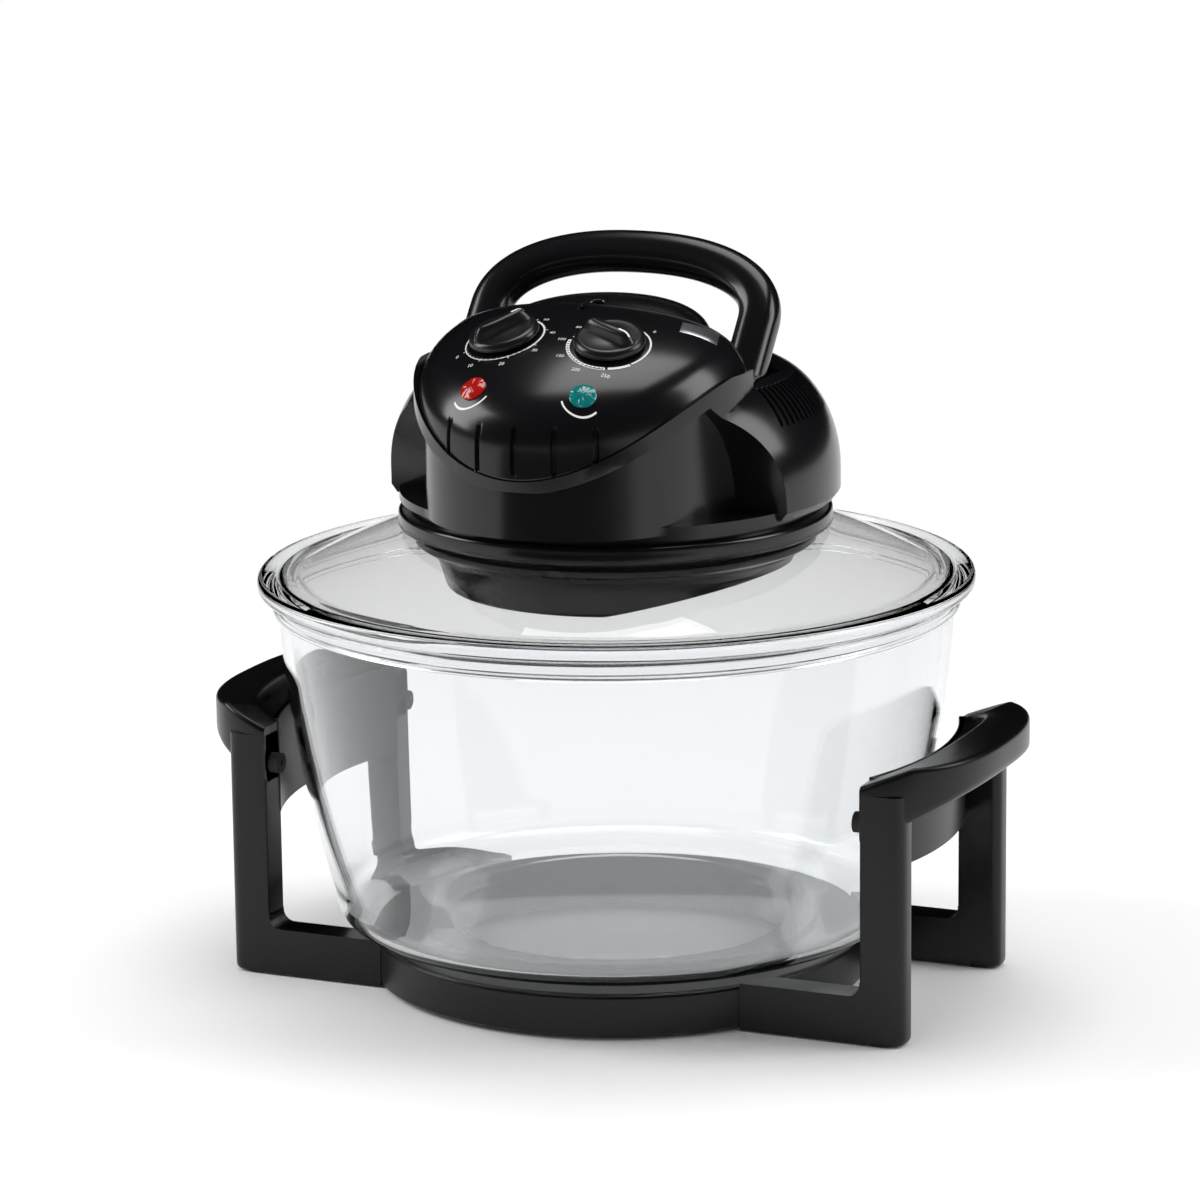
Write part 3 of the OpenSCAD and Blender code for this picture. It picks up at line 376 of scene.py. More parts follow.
def panel_z(x, y):
    """Height of the panel's outer face, which falls to SMILE_H at its outline."""
    s = hypot(x / PANEL_A, (y - PANEL_Y) / PANEL_B)
    return SMILE_H + (roll(x, y) - SMILE_H) * max(0.0, 1 - s ** PANEL_STEEP) ** (1 / PANEL_STEEP)


def panel_normal(x, y):
    near = 0.5
    return Vector((panel_z(x - near, y) - panel_z(x + near, y), panel_z(x, y - near) - panel_z(x, y + near),
                   2 * near)).normalized()


def smile(x):
    """Height of the panel's lower edge, which rises to both sides."""
    return SMILE_H + SMILE_RISE * min(1.0, abs(x) / PANEL_A) ** 2


def even(points, n):
    """n + 1 points at equal steps along a line of points."""
    run = [0.0]
    for a, b in zip(points, points[1:]):
        run.append(run[-1] + (Vector(b) - Vector(a)).length)
    out, i = [], 0
    for k in range(n + 1):
        d = run[-1] * k / n
        while i < len(points) - 2 and run[i + 1] < d:
            i += 1
        t = (d - run[i]) / max(1e-9, run[i + 1] - run[i])
        out.append(Vector(points[i]).lerp(Vector(points[i + 1]), min(1.0, max(0.0, t))))
    return out


SHOULDER = 0.8       # share of the way to the outline at which the flat top ends
TOP_STEPS, SHOULDER_STEPS, WALL_ROWS = 60, 180, 6
WALL_STEP = 0.02     # the wall stands this far inside the seam


def pillow_column(t, seam, a, b, cy, drop, base, steep, foot):
    """One line down the outer face, from near the middle of the seam to the lower edge, in direction t.

    The face has an elliptical outline, a by b about (0, cy). It lies drop under roll() and falls to base.
    """
    ct, st = cos(t), sin(t)
    qa = (ct / a) ** 2 + (st / b) ** 2
    qb = 2 * (seam - cy) * st / b ** 2
    q0 = ((seam - cy) / b) ** 2
    line = []
    # Even steps over the flat top, then even turns over the shoulder
    bend, first = asin(SHOULDER ** (steep / 2)), sqrt(q0)
    turns = [asin((first + (SHOULDER - first) * k / TOP_STEPS) ** (steep / 2)) for k in range(TOP_STEPS)]
    turns += [bend + (pi / 2 - bend) * k / SHOULDER_STEPS for k in range(SHOULDER_STEPS + 1)]
    for turn in turns:
        s = min(1.0, max(first + 1e-9, sin(turn) ** (2 / steep)))
        rho = (-qb + sqrt(max(0.0, qb * qb - 4 * qa * (q0 - s * s)))) / (2 * qa)
        x, y = rho * ct, seam + rho * st
        z = base + (roll(x, y) - drop - base) * max(0.0, cos(turn)) ** (2 / steep)
        low = foot(x)
        if z <= low:
            if line:
                x1, y1, z1 = line[-1]
                u = (z1 - low) / max(1e-9, z1 - z)
                line.append((x1 + (x - x1) * u, y1 + (y - y1) * u, low))
            break
        line.append((x, y, z))
    return line


def pillow_shell(name, node, columns, rows, seam, a, b, cy, drop, base, steep, foot, shape=Vector):
    """A moulded shell: the outer face in columns, a wall under the seam, and a thickness inwards."""
    verts, faces = [], []
    for t in columns:
        verts += [shape(p) for p in even(pillow_column(t, seam, a, b, cy, drop, base, steep, foot), rows)]
    n = rows + 1
    for i in range(len(columns) - 1):
        for j in range(rows):
            faces.append((i * n + j, i * n + j + 1, (i + 1) * n + j + 1, (i + 1) * n + j))
    verts = [(x, y, z + BODY_Z) for x, y, z in verts]
    # Wall under the seam, from the first and the last column down to the lower edge
    last, start, m = len(columns) - 1, len(verts), WALL_ROWS + 1
    top = [verts[j] for j in range(n - 1, 0, -1)] + [verts[0]] + [verts[last * n + j] for j in range(1, n)]
    for x, y, z in top:
        fall = min(foot(x) + BODY_Z, z) - z
        verts += [(x, y + copysign(WALL_STEP, cy - seam), z + fall * k / WALL_ROWS) for k in range(m)]
    for i in range(len(top) - 1):
        for k in range(start + i * m, start + i * m + WALL_ROWS):
            faces.append((k, k + 1, k + m + 1, k + m))
    obj = add(name, verts, faces, GLOSS, node=node, sharp=38)
    inside = Vector((0, (cy + seam) / 2, base + 30 + BODY_Z)) * MM
    if sum(p.normal.dot(p.center - inside) * p.area for p in obj.data.polygons) < 0:
        obj.data.flip_normals()
    # The wall isn't joined to the face, so its own faces are turned outwards one by one
    bm = bmesh.new()
    bm.from_mesh(obj.data)
    inward = [f for f in bm.faces if abs(f.calc_center_median().y / MM - seam) < 0.1
              and f.normal.dot(f.calc_center_median() - inside) < 0]
    bmesh.ops.reverse_faces(bm, faces=inward)
    bm.to_mesh(obj.data)
    bm.free()
    shell = obj.modifiers.new("wall", "SOLIDIFY")
    shell.thickness = PANEL_T * MM
    shell.offset = -1
    shell.use_even_offset = False
    return obj


GROOVES = [radians(-90 + (i - 2) * 15.5) for i in range(5)]
GROOVE_Y = -46
GROOVE_R = 73
GROOVE_LOW, GROOVE_HIGH = 32.8, 52.2
GROOVE_W, GROOVE_DEPTH, GROOVE_SLOPE = 3, 2.0, 0.6


def grooved(p):
    """Upright grooves with rounded ends in the front of the panel."""
    x, y, z = p
    turn = atan2(y - GROOVE_Y, x)
    reach = hypot(x, y - GROOVE_Y)
    depth = 0.0
    if reach > GROOVE_R - 13:
        for g in GROOVES:
            if cos(turn - g) > 0:
                d = hypot(reach * sin(turn - g), max(0.0, GROOVE_LOW - z, z - GROOVE_HIGH))
                depth = max(depth, min(1.0, max(0.0, (GROOVE_W / 2 - d) / GROOVE_SLOPE)))
    k = (reach - GROOVE_DEPTH * depth) / reach if depth else 1.0
    return Vector((x * k, GROOVE_Y + (y - GROOVE_Y) * k, z))


def panel_columns():
    """Directions from the middle of the seam, closer together at the grooves."""
    found = [pi + pi * i / 168 for i in range(169)]
    for g in GROOVES:
        for off in (-1.9, -1.5, -1.3, -1.1, -0.9, -0.5, 0, 0.5, 0.9, 1.1, 1.3, 1.5, 1.9):
            x = GROOVE_R * cos(g) - off * sin(g)
            y = GROOVE_Y + GROOVE_R * sin(g) + off * cos(g)
            found.append(atan2(y - SEAM_Y, x) + 2 * pi)
    found.sort()
    kept = [found[0]]
    for t in found[1:]:
        if t - kept[-1] > 0.0012:
            kept.append(t)
    kept[-1] = 2 * pi
    return kept


panel = pillow_shell("control_panel_shell", "control_panel", panel_columns(), 92, SEAM_Y, PANEL_A, PANEL_B, PANEL_Y, 0,
                     SMILE_H, PANEL_STEEP, smile, grooved)
cover = pillow_shell("rear_cover_shell", "top_cover", [pi * i / 120 for i in range(121)], 48, SEAM_Y + 0.1, 55, 62, -20,
                     0.6, DECK_H, 4, lambda x: DECK_H)
made += [panel, cover]


# Carrying handle

GRIP_SOFT = 0.8      # 1 is a round section, 0 a square one
PIN_HOLE_R = 3.06
CAM_END, CAM_START, CAM_FALL = 230, 320, 2.1


def grip_line(n):
    """Middle line of the bar, seen square to it: two straight legs and half a superellipse."""
    p = 2 / 2.25
    mid = GRIP_REACH - GRIP_W / 2
    leg = (0, 8, 16, 24, 31)
    line = [(-GRIP_X, v) for v in leg]
    for i in range(n + 1):
        t = pi - pi * i / n
        line.append((GRIP_X * signed_power(cos(t), p), GRIP_FOOT + (mid - GRIP_FOOT) * abs(sin(t)) ** p))
    return line + [(GRIP_X, v) for v in reversed(leg)]


def grip_bar(lean):
    """The bent bar, of a soft oblong section."""
    line = [Vector((p.x, p.y)) for p in even([(x, v, 0) for x, v in grip_line(160)], 190)]
    rings, last, around = [], len(line) - 1, 56
    for i, c in enumerate(line):
        d = (line[min(last, i + 1)] - line[max(0, i - 1)]).normalized()
        ring = []
        for j in range(around):
            a = 2 * pi * j / around
            u = GRIP_W / 2 * signed_power(cos(a), GRIP_SOFT)
            w = GRIP_T / 2 * signed_power(sin(a), GRIP_SOFT)
            ring.append(lean @ Vector((c.x - d.y * u, w, c.y + d.x * u)) + PIVOT)
        rings.append(ring)
    return rings_to_solid(rings)


def grip_foot(side, lean):
    """A round foot on one pivot, open for its pin, with the cam that works the safety switch."""
    verts, faces, steps = [], [], 48
    profile = []
    for k in range(steps):
        deg = degrees(2 * pi * k / steps)
        fall = CAM_FALL * max(0, min(1.5, (CAM_START - deg) / GRIP_LEAN)) if deg > CAM_END else 0
        profile.append((2 * pi * k / steps, GRIP_T / 2 - fall - 0.05))
    for x in (side * GRIP_X - GRIP_W / 2, side * GRIP_X + GRIP_W / 2):
        for outline in (profile, [(a, PIN_HOLE_R) for a, r in profile]):
            verts += [lean @ Vector((x, r * cos(a), r * sin(a))) + PIVOT for a, r in outline]
    o0, i0, o1, i1 = (k * steps for k in range(4))
    for k in range(steps):
        m = (k + 1) % steps
        faces += [(o0 + k, o0 + m, o1 + m, o1 + k), (i0 + m, i0 + k, i1 + k, i1 + m),
                  (o0 + m, o0 + k, i0 + k, i0 + m), (o1 + k, o1 + m, i1 + m, i1 + k)]
    return verts, faces


def carrying_handle():
    """The bar and its two feet, laid back on the pivots."""
    lean = Matrix.Rotation(radians(-GRIP_LEAN), 3, "X")
    verts, faces = joined([grip_bar(lean), grip_foot(-1, lean), grip_foot(1, lean)])
    return add("carrying_handle_bar", verts, faces, GLOSS, node="carry_handle", sharp=40)


made.append(carrying_handle())


# Knobs

def on_panel(x, y):
    """Turns and moves a point given over the panel, with its Z along the panel's normal."""
    n = panel_normal(x, y)
    turn = Vector((0, 0, 1)).rotation_difference(n).to_matrix()
    origin = Vector((x, y, BODY_Z + panel_z(x, y)))
    return lambda p: turn @ Vector(p) + origin


def knob(name, node, side, turn):
    """Skirt, crowned top and a finger bar that narrows upwards, with a white pointer along one end of the bar."""
    to = on_panel(side * KNOB_X, KNOB_Y)
    spin = Matrix.Rotation(radians(turn), 3, "Z")
    skirt = [(3.0, 0.7), (16.7, 0.7), (17, 1.0), (17, 1.9)] + arc(14.2, 1.9, 2.8, 2.8, 0, 82, 10)
    skirt += [(13.6, 4.75), (12.9, 4.6), (8, 5.3), (3.0, 5.6)]
    skirt_verts, skirt_faces = turned(skirt, 120)
    # Height, half length and half width of the finger bar
    levels = [(3.6, 15.4, 4.5), (4.6, 15.2, 4.3), (5.6, 14.7, 3.95), (7.0, 13.9, 3.6), (8.4, 13.0, 3.25),
              (9.3, 12.3, 2.9), (9.9, 11.6, 2.4), (10.3, 10.9, 1.7), (10.5, 10.1, 0.9)]
    turns = [2 * pi * j / 64 for j in range(64)]
    bar = rings_to_solid([[to(spin @ Vector((half * signed_power(cos(a), 0.75), wide * signed_power(sin(a), 0.62), z)))
                           for a in turns] for z, half, wide in levels])
    verts, faces = joined([([to(v) for v in skirt_verts], skirt_faces), bar])
    obj = add(name, verts, faces, KNOB, node=node, sharp=34)
    pointer = [to(spin @ Vector((x, y, z))) for x, z in ((13.15, 8.5), (11.75, 10.0), (10.2, 10.6), (6.5, 10.62))
               for y in (-0.5, 0.5)]
    mark = add(name + "_pointer", pointer, [(0, 1, 3, 2), (2, 3, 5, 4), (4, 5, 7, 6)], PRINT,
               body=body_of_node[node], slot="knob_plastic")
    return [obj, mark]


made += knob("timer_knob_turned", "timer_knob", -1, 50)
made += knob("temperature_knob_turned", "temperature_knob", 1, -20)


# Jewelled lenses, with the pressed facets of such lamps

def lens(name, node, side, finish):
    to = on_panel(side * LENS_X, LENS_Y)
    turns = [2 * pi * j / 48 for j in range(48)]
    facets = [0.16 if (j // 4) % 2 else -0.1 for j in range(48)]
    rings = []
    for r, z, raised in ((LENS_R, -5, 0), (LENS_R, 0.1, 0), (LENS_R, 0.5, 0), (6.2, 0.85, 1), (5.0, 1.35, 1),
                         (3.4, 1.85, 1), (1.7, 2.15, 1), (0.4, 2.2, 0)):
        rings.append([to((r * cos(a), r * sin(a), z + raised * facet)) for a, facet in zip(turns, facets)])
    verts, faces = rings_to_solid(rings)
    return add(name, verts, faces, finish, node=node, sharp=20)


made.append(lens("red_jewel_lens", "red_lens", -1, RED))
made.append(lens("green_jewel_lens", "green_lens", 1, GREEN))


# Print on the panel

PRINT_LIFT = 0.12
SCALE_R = 18.9
FIGURE_SIZE = 2.9


def on_skin(cx, cy, u, v):
    """A point of the print, given flat about (cx, cy), laid on the panel."""
    p = on_panel(cx, cy)((u, v, 0))
    return Vector((p.x, p.y, BODY_Z + panel_z(p.x, p.y))) + panel_normal(p.x, p.y) * PRINT_LIFT


def stroke(cx, cy, r0, r1, a0, a1):
    """A band between two radii and two angles, in steps of three degrees at most."""
    n = max(1, ceil(abs(a1 - a0) / 3))
    verts = []
    for i in range(n + 1):
        a = radians(a0 + (a1 - a0) * i / n)
        verts += [on_skin(cx, cy, r0 * cos(a), r0 * sin(a)), on_skin(cx, cy, r1 * cos(a), r1 * sin(a))]
    return verts, [(2 * i, 2 * i + 1, 2 * i + 3, 2 * i + 2) for i in range(n)]


def band(side, r0, r1, a0, a1):
    """A band of a knob's scale, its radii counted from SCALE_R."""
    return stroke(side * KNOB_X, KNOB_Y, SCALE_R + r0, SCALE_R + r1, a0, a1)


def figure(side, text, r, angle):
    """A plain number beside a knob's scale, upright to the user."""
    curve = bpy.data.curves.new("figures", "FONT")
    curve.body = text
    curve.size = FIGURE_SIZE
    curve.align_x = "CENTER"
    curve.align_y = "CENTER"
    curve.resolution_u = 2
    obj = linked("figures", curve)
    mesh = evaluated_mesh(obj)
    bpy.data.objects.remove(obj)
    u, v = r * cos(radians(angle)), r * sin(radians(angle))
    verts = [on_skin(side * KNOB_X, KNOB_Y, u + p.co.x, v + p.co.y) for p in mesh.vertices]
    faces = [tuple(p.vertices) for p in mesh.polygons]
    bpy.data.meshes.remove(mesh)
    return verts, faces


def printed(name, parts):
    """Print on the panel from pairs of points and faces."""
    verts, faces = joined(parts)
    mesh = bpy.data.meshes.new(name)
    mesh.from_pydata([Vector(v) * MM for v in verts], [], faces)
    obj = place(name, mesh, PRINT, body="lid", slot="head_plastic")
    if sum(p.normal.z * p.area for p in mesh.polygons) < 0:
        mesh.flip_normals()
    return obj


def scale_ticks():
    """Ticks of a dial: bars set round an arc, then laid on the panel along the knob's own axis."""
    tree = bpy.data.node_groups.new("scale ticks", "GeometryNodeTree")
    inputs = {"Panel": ("NodeSocketObject", None), "Print": ("NodeSocketMaterial", None),
              "Count": ("NodeSocketInt", 30), "Long Every": ("NodeSocketInt", 5), "Radius": ("NodeSocketFloat", 0.019),
              "First Angle": ("NodeSocketFloat", 0.0), "Last Angle": ("NodeSocketFloat", 3.0),
              "Short Length": ("NodeSocketFloat", 0.0012), "Long Length": ("NodeSocketFloat", 0.002),
              "Tick Width": ("NodeSocketFloat", 0.0004), "Middle": ("NodeSocketVector", (0, 0, 0)),
              "Turn": ("NodeSocketVector", (0, 0, 0)), "Upwards": ("NodeSocketVector", (0, 0, 1)),
              "Lift": ("NodeSocketFloat", 0.00012)}
    for label, (kind, value) in inputs.items():
        socket = tree.interface.new_socket(label, in_out="INPUT", socket_type=kind)
        if value is not None:
            socket.default_value = value
    tree.interface.new_socket("Geometry", in_out="OUTPUT", socket_type="NodeSocketGeometry")
    inside, outside = tree.nodes.new("NodeGroupInput"), tree.nodes.new("NodeGroupOutput")
    given = inside.outputs

    def vector_math(operation, sockets):
        return wired(tree, "ShaderNodeVectorMath", sockets, operation=operation).outputs["Vector"]

    index = tree.nodes.new("GeometryNodeInputIndex").outputs["Index"]
    span = math_node(tree, "SUBTRACT", given["Last Angle"], given["First Angle"])
    share = math_node(tree, "DIVIDE", index, math_node(tree, "SUBTRACT", given["Count"], 1))
    angle = math_node(tree, "ADD", given["First Angle"], math_node(tree, "MULTIPLY", span, share))
    is_long = math_node(tree, "LESS_THAN", math_node(tree, "MODULO", index, given["Long Every"]), 0.5)
    extra = math_node(tree, "SUBTRACT", given["Long Length"], given["Short Length"])
    length = math_node(tree, "ADD", given["Short Length"], math_node(tree, "MULTIPLY", extra, is_long))
    reach = math_node(tree, "ADD", given["Radius"], math_node(tree, "MULTIPLY", length, 0.5))
    spot = wired(tree, "ShaderNodeCombineXYZ", {
        "X": math_node(tree, "MULTIPLY", reach, math_node(tree, "COSINE", angle)),
        "Y": math_node(tree, "MULTIPLY", reach, math_node(tree, "SINE", angle))})
    points = wired(tree, "GeometryNodePoints", {"Count": given["Count"], "Position": spot.outputs["Vector"]})
    bar = wired(tree, "GeometryNodeMeshGrid", {
        "Size X": 1.0, "Size Y": given["Tick Width"], "Vertices X": 3, "Vertices Y": 2})
    turn = wired(tree, "ShaderNodeCombineXYZ", {"Z": angle})
    size = wired(tree, "ShaderNodeCombineXYZ", {"X": length, "Y": 1.0, "Z": 1.0})
    put = wired(tree, "GeometryNodeInstanceOnPoints", {
        "Points": points.outputs["Points"], "Instance": bar.outputs["Mesh"], "Rotation": turn.outputs["Vector"],
        "Scale": size.outputs["Vector"]})
    real = wired(tree, "GeometryNodeRealizeInstances", {"Geometry": put.outputs["Instances"]})
    laid = wired(tree, "GeometryNodeTransform", {
        "Geometry": real.outputs["Geometry"], "Translation": given["Middle"], "Rotation": given["Turn"]})
    # Each point drops from over the panel to its face, and is lifted off it by a hair
    target = wired(tree, "GeometryNodeObjectInfo", {"Object": given["Panel"]}, transform_space="RELATIVE")
    here = tree.nodes.new("GeometryNodeInputPosition").outputs["Position"]
    cast = wired(tree, "GeometryNodeRaycast", {
        "Target Geometry": target.outputs["Geometry"], "Ray Length": 0.06,
        "Source Position": vector_math("ADD", {0: here, 1: vector_math("SCALE", {0: given["Upwards"], "Scale": 0.02})}),
        "Ray Direction": vector_math("SCALE", {0: given["Upwards"], "Scale": -1.0})})
    raised = vector_math("SCALE", {0: cast.outputs["Hit Normal"], "Scale": given["Lift"]})
    lifted = vector_math("ADD", {0: cast.outputs["Hit Position"], 1: raised})
    rest = wired(tree, "GeometryNodeSetPosition", {"Geometry": laid.outputs["Geometry"], "Position": lifted})
    paint = wired(tree, "GeometryNodeSetMaterial", {"Geometry": rest.outputs["Geometry"], "Material": given["Print"]})
    tree.links.new(paint.outputs["Geometry"], outside.inputs["Geometry"])
    return tree


TICKS = scale_ticks()


def ticks(name, side, **values):
    """One run of ticks round a knob, as a plain mesh that rides on the lid."""
    normal = panel_normal(side * KNOB_X, KNOB_Y)
    turn = Vector((0, 0, 1)).rotation_difference(normal).to_euler()
    given = {"Panel": panel, "Print": PRINT, "Upwards": tuple(normal), "Turn": tuple(turn),
             "Middle": (side * KNOB_X * MM, KNOB_Y * MM, (BODY_Z + panel_z(side * KNOB_X, KNOB_Y)) * MM)}
    given.update({label.replace("_", " "): value for label, value in values.items()})
    base = linked(name + "_base", bpy.data.meshes.new(name + "_base"))
    run = base.modifiers.new("ticks", "NODES")
    run.node_group = TICKS
    for item in TICKS.interface.items_tree:
        if item.item_type == "SOCKET" and item.in_out == "INPUT" and item.name in given:
            run[item.identifier] = given[item.name]
    mesh = evaluated_mesh(base)
    mesh.name = name
    bpy.data.objects.remove(base)
    mesh.materials.clear()
    return place(name, mesh, PRINT, body="lid", slot="head_plastic")


timer_marks = [band(-1, 0, 0.4, -190, 62), band(-1, 0.4, 0.9, -35, 62)]
timer_marks += [figure(-1, str(10 * i), 23.6, 205 + 250 * i / 6 + (0 if i else 8)) for i in range(7)]
heat_marks = [band(1, 0, 0.35, -178, -74), band(1, 1.35, 1.7, -178, -74)]
heat_marks += [band(1, 0, 1.7, a, a + 2.2) for a in (-178, -148, -142, -112, -106, -76)]
heat_marks += [band(1, 0, 1.4, -70, -38), band(1, 0, 0.9, -36, 58), band(1, -0.6, 1.8, 66, 73)]
heat_marks += [figure(1, text, 24.2, a)
               for text, a in (("50", 150), ("100", 182), ("150", 218), ("200", 252), ("250", 288), ("0", 52))]
made.append(ticks("timer_ticks", -1, Count=31, Radius=(SCALE_R - 0.2) * MM, First_Angle=radians(-190),
                  Last_Angle=radians(62), Short_Length=0.0012, Long_Length=0.0022, Tick_Width=0.00045))
made.append(ticks("temperature_dashes", 1, Count=17, Long_Every=1, Radius=(SCALE_R + 0.35) * MM,
                  First_Angle=radians(-175), Last_Angle=radians(-79), Long_Length=0.001, Tick_Width=0.0012))
made.append(ticks("temperature_ticks", 1, Count=12, Long_Every=3, Radius=SCALE_R * MM, First_Angle=radians(112),
                  Last_Angle=radians(174), Short_Length=0.0009, Long_Length=0.0015, Tick_Width=0.0004))
made.append(printed("timer_scale", timer_marks))
made.append(printed("temperature_scale", heat_marks))
for side, word in ((-1, "left"), (1, "right")):
    made.append(printed(f"lens_arc_{word}", [stroke(side * LENS_X, LENS_Y, 9.6, 10.4, -150, -30)]))


def bare_plate():
    """Bright metal-coloured patch with a raised middle, on the right of the panel's top: a painted highlight where the
    panel's right shoulder catches the light.
    """
    cx, cy, half, deep, rows = 59, -34, 8.8, 5.6, 8
    low, high = 0.1, 0.45
    turn, m = radians(15), rows + 1
    verts, faces = [], []
    for i in range(m):
        for j in range(m):
            u, v = half * (2 * i / rows - 1), deep * (2 * j / rows - 1)
            x, y = cx + u * cos(turn) - v * sin(turn), cy + u * sin(turn) + v * cos(turn)
            rim = i in (0, rows) or j in (0, rows)
            verts.append(Vector((x, y, BODY_Z + panel_z(x, y))) + panel_normal(x, y) * (low if rim else high))
    for i in range(rows):
        for a in range(i * m, i * m + rows):
            faces.append((a, a + m, a + m + 1, a + 1))
    return add("bare_plate", verts, faces, HIGHLIGHT_PATCH, body="lid", slot="plated_steel", sharp=60)


made.append(bare_plate())


# Glass

def bowl_outline():
    """The bowl's wall: foot, rounded corner, bellied side, neck and thick rim with the ledge for the lid."""
    low, neck, flat, z0, rim, corner, wall = 140.5, 165.0, 103.0, 27.0, 203.5, 19.0, 5.0
    neck_z = rim - 16

    def side(s):
        return low + (neck - low) * (1.7 * s - 0.7 * s * s)

    outer = [(0, z0 + 0.6), (flat - 22, z0 + 0.6), (flat - 16, z0), (flat, z0)]
    outer += [(flat + (low - flat) * sin(radians(a)) ** 0.7, z0 + corner * (1 - cos(radians(a)) ** 0.7))
              for a in range(6, 87, 4)]
    outer += [(side(s / 30), z0 + corner + s / 30 * (neck_z - z0 - corner)) for s in range(31)]
    rim_part = arc(neck, neck_z, 3, 2, -60, 60, 8) + [(neck + 1.7, neck_z + 3.2), (neck + 2.2, neck_z + 5.4)]
    rim_part += [(neck + 3.6, rim - 8.6)] + arc(171, rim - 4.2, 4, 3.8, -75, 0, 6)
    rim_part += arc(172.2, rim - 2.8, 2.8, 2.8, 0, 90, 6)
    rim_part += [(neck + 1.2, rim), (neck, rim - 0.9), (neck, rim - 4.0), (neck - 0.5, rim - 4.5)]
    rim_part += [(neck - 4, rim - 4.5), (neck - wall, rim - 5.2), (neck - wall, neck_z)]
    inner = [(side(s / 30) - wall, z0 + corner + s / 30 * (neck_z - z0 - corner)) for s in range(29, -1, -1)]
    for a in range(86, 17, -4):
        lift = wall * (1 - sin(radians(a)) ** 3)
        inner.append((flat + (low - flat) * sin(radians(a)) ** 0.7 - wall,
                      max(z0 + wall, z0 + corner * (1 - cos(radians(a)) ** 0.7) + lift)))
    inner += [(flat - 8, z0 + wall), (0, z0 + wall)]
    return outer + rim_part + inner


def lid_outline():
    """The lid's wall: a flat middle with its opening, the slope and the flat lip on the bowl's ledge."""
    edge, flat, lip, wall, z0, top = 164.5, 101.7, 8.0, 4.0, 199.3, 225.3
    shoulder = edge - lip

    def crown(s):
        return (flat + (shoulder - flat) * s, z0 + wall + (top - z0 - wall) * (1 - s ** 1.3))

    steps = 28
    line = [(93, top)] + [crown(i / steps) for i in range(steps + 1)]
    line += [(shoulder + 1.5, z0 + wall + 0.05)] + arc(edge - 1.5, z0 + wall - 1.5, 1.5, 1.5, 90, 0, 5)
    line += arc(edge - 1, z0 + 1, 1, 1, 0, -90, 4) + [(shoulder - 1, z0)]
    line += [(crown(i / steps)[0] - 1.5, crown(i / steps)[1] - wall) for i in range(steps - 2, -1, -1)]
    line += [(93, top - wall)]
    return line


GLASS_STEPS = 256
made.append(add("bowl_glass", *turned(bowl_outline(), GLASS_STEPS), BOWL_GLASS, node="glass_bowl", sharp=45))
made.append(add("lid_glass", *turned(lid_outline(), GLASS_STEPS), LID_GLASS, node="glass_lid", sharp=45))


# Side frames: the arms keep the solid's own shape up to ARM_CUT, the uprights and the bowed handle are lofted

FRAME_Z, ARM_H, ARM_CUT = 1, 24, 148
STEM_IN, STEM_OUT, SPAN, DEEP = 155.5, 177, 77, 16
BOW_OUT, BOW_W = 203, 23
GRIP_TOP, GRIP_UNDER = 136, 121.5
GRIP_FALL, FALL_REACH, GRIP_DIP, DIP_REACH = 16.5, 33.5, 10, 25
APRON_R, APRON_T, APRON_Z, SHELF_T = 167, 3.5, 80, 6


def bow(out, half, t):
    """A point of a bow round the handle, from one upright at -pi/2 to the other at pi/2."""
    return (STEM_IN + out * abs(cos(t)) ** 0.8, half * signed_power(sin(t), 0.8))


def soft_corners(points, radius, steps=5):
    """A closed outline with its corners rounded."""
    out, n = [], len(points)
    for i in range(n):
        c, b, d = Vector(points[i]), Vector(points[i - 1]), Vector(points[(i + 1) % n])
        r = min(radius[i], (b - c).length * 0.48, (d - c).length * 0.48)
        start, end = c + (b - c).normalized() * r, c + (d - c).normalized() * r
        for k in range(steps + 1):
            u = k / steps
            out.append(start * (1 - u) ** 2 + c * 2 * u * (1 - u) + end * u ** 2)
    return out


def grip_underside(x):
    return GRIP_UNDER - GRIP_FALL * (BOW_OUT - x) / FALL_REACH


def grip_top(x):
    return min(GRIP_TOP, GRIP_TOP - GRIP_DIP + (x - STEM_IN) * GRIP_DIP / DIP_REACH)


def bowed_handle(side):
    """The handle that bows out between two uprights, its top dipped and its underside falling inwards."""
    rings = []
    for i in range(121):
        t = -pi / 2 + pi * i / 120
        (xo, yo), (xi, yi) = bow(BOW_OUT - STEM_IN, SPAN, t), bow(BOW_OUT - BOW_W - STEM_IN, SPAN - DEEP, t)
        wide = hypot(xo - xi, yo - yi)
        ring = soft_corners([(0, grip_underside(xi)), (wide, grip_underside(xo)), (wide, grip_top(xo)),
                             (0, grip_top(xi))], (1.5, 4.0, 3.0, 2.0))
        rings.append([(side * (xi + (xo - xi) * d / wide), yi + (yo - yi) * d / wide, z) for d, z in ring])
    return rings_to_solid(rings)


def upright(side, end):
    """A post with rounded outer corners that narrows at its foot."""
    plan = soft_corners([(STEM_IN, SPAN - DEEP), (STEM_OUT, SPAN - DEEP), (STEM_OUT, SPAN), (STEM_IN, SPAN)],
                        (0.8, 5.0, 9.0, 1.2), 7)
    middle = Vector(((STEM_IN + STEM_OUT) / 2, SPAN - DEEP / 2))
    rings = []
    for z, shrink in ((FRAME_Z, 0.84), (FRAME_Z + 0.6, 0.93), (FRAME_Z + 1.8, 0.985), (FRAME_Z + 3.5, 1.0), (70, 1.0),
                      (122, 1.0)):
        rings.append([(side * (middle.x + (p.x - middle.x) * shrink), end * (middle.y + (p.y - middle.y) * shrink), z)
                      for p in plan])
    return rings_to_solid(rings)


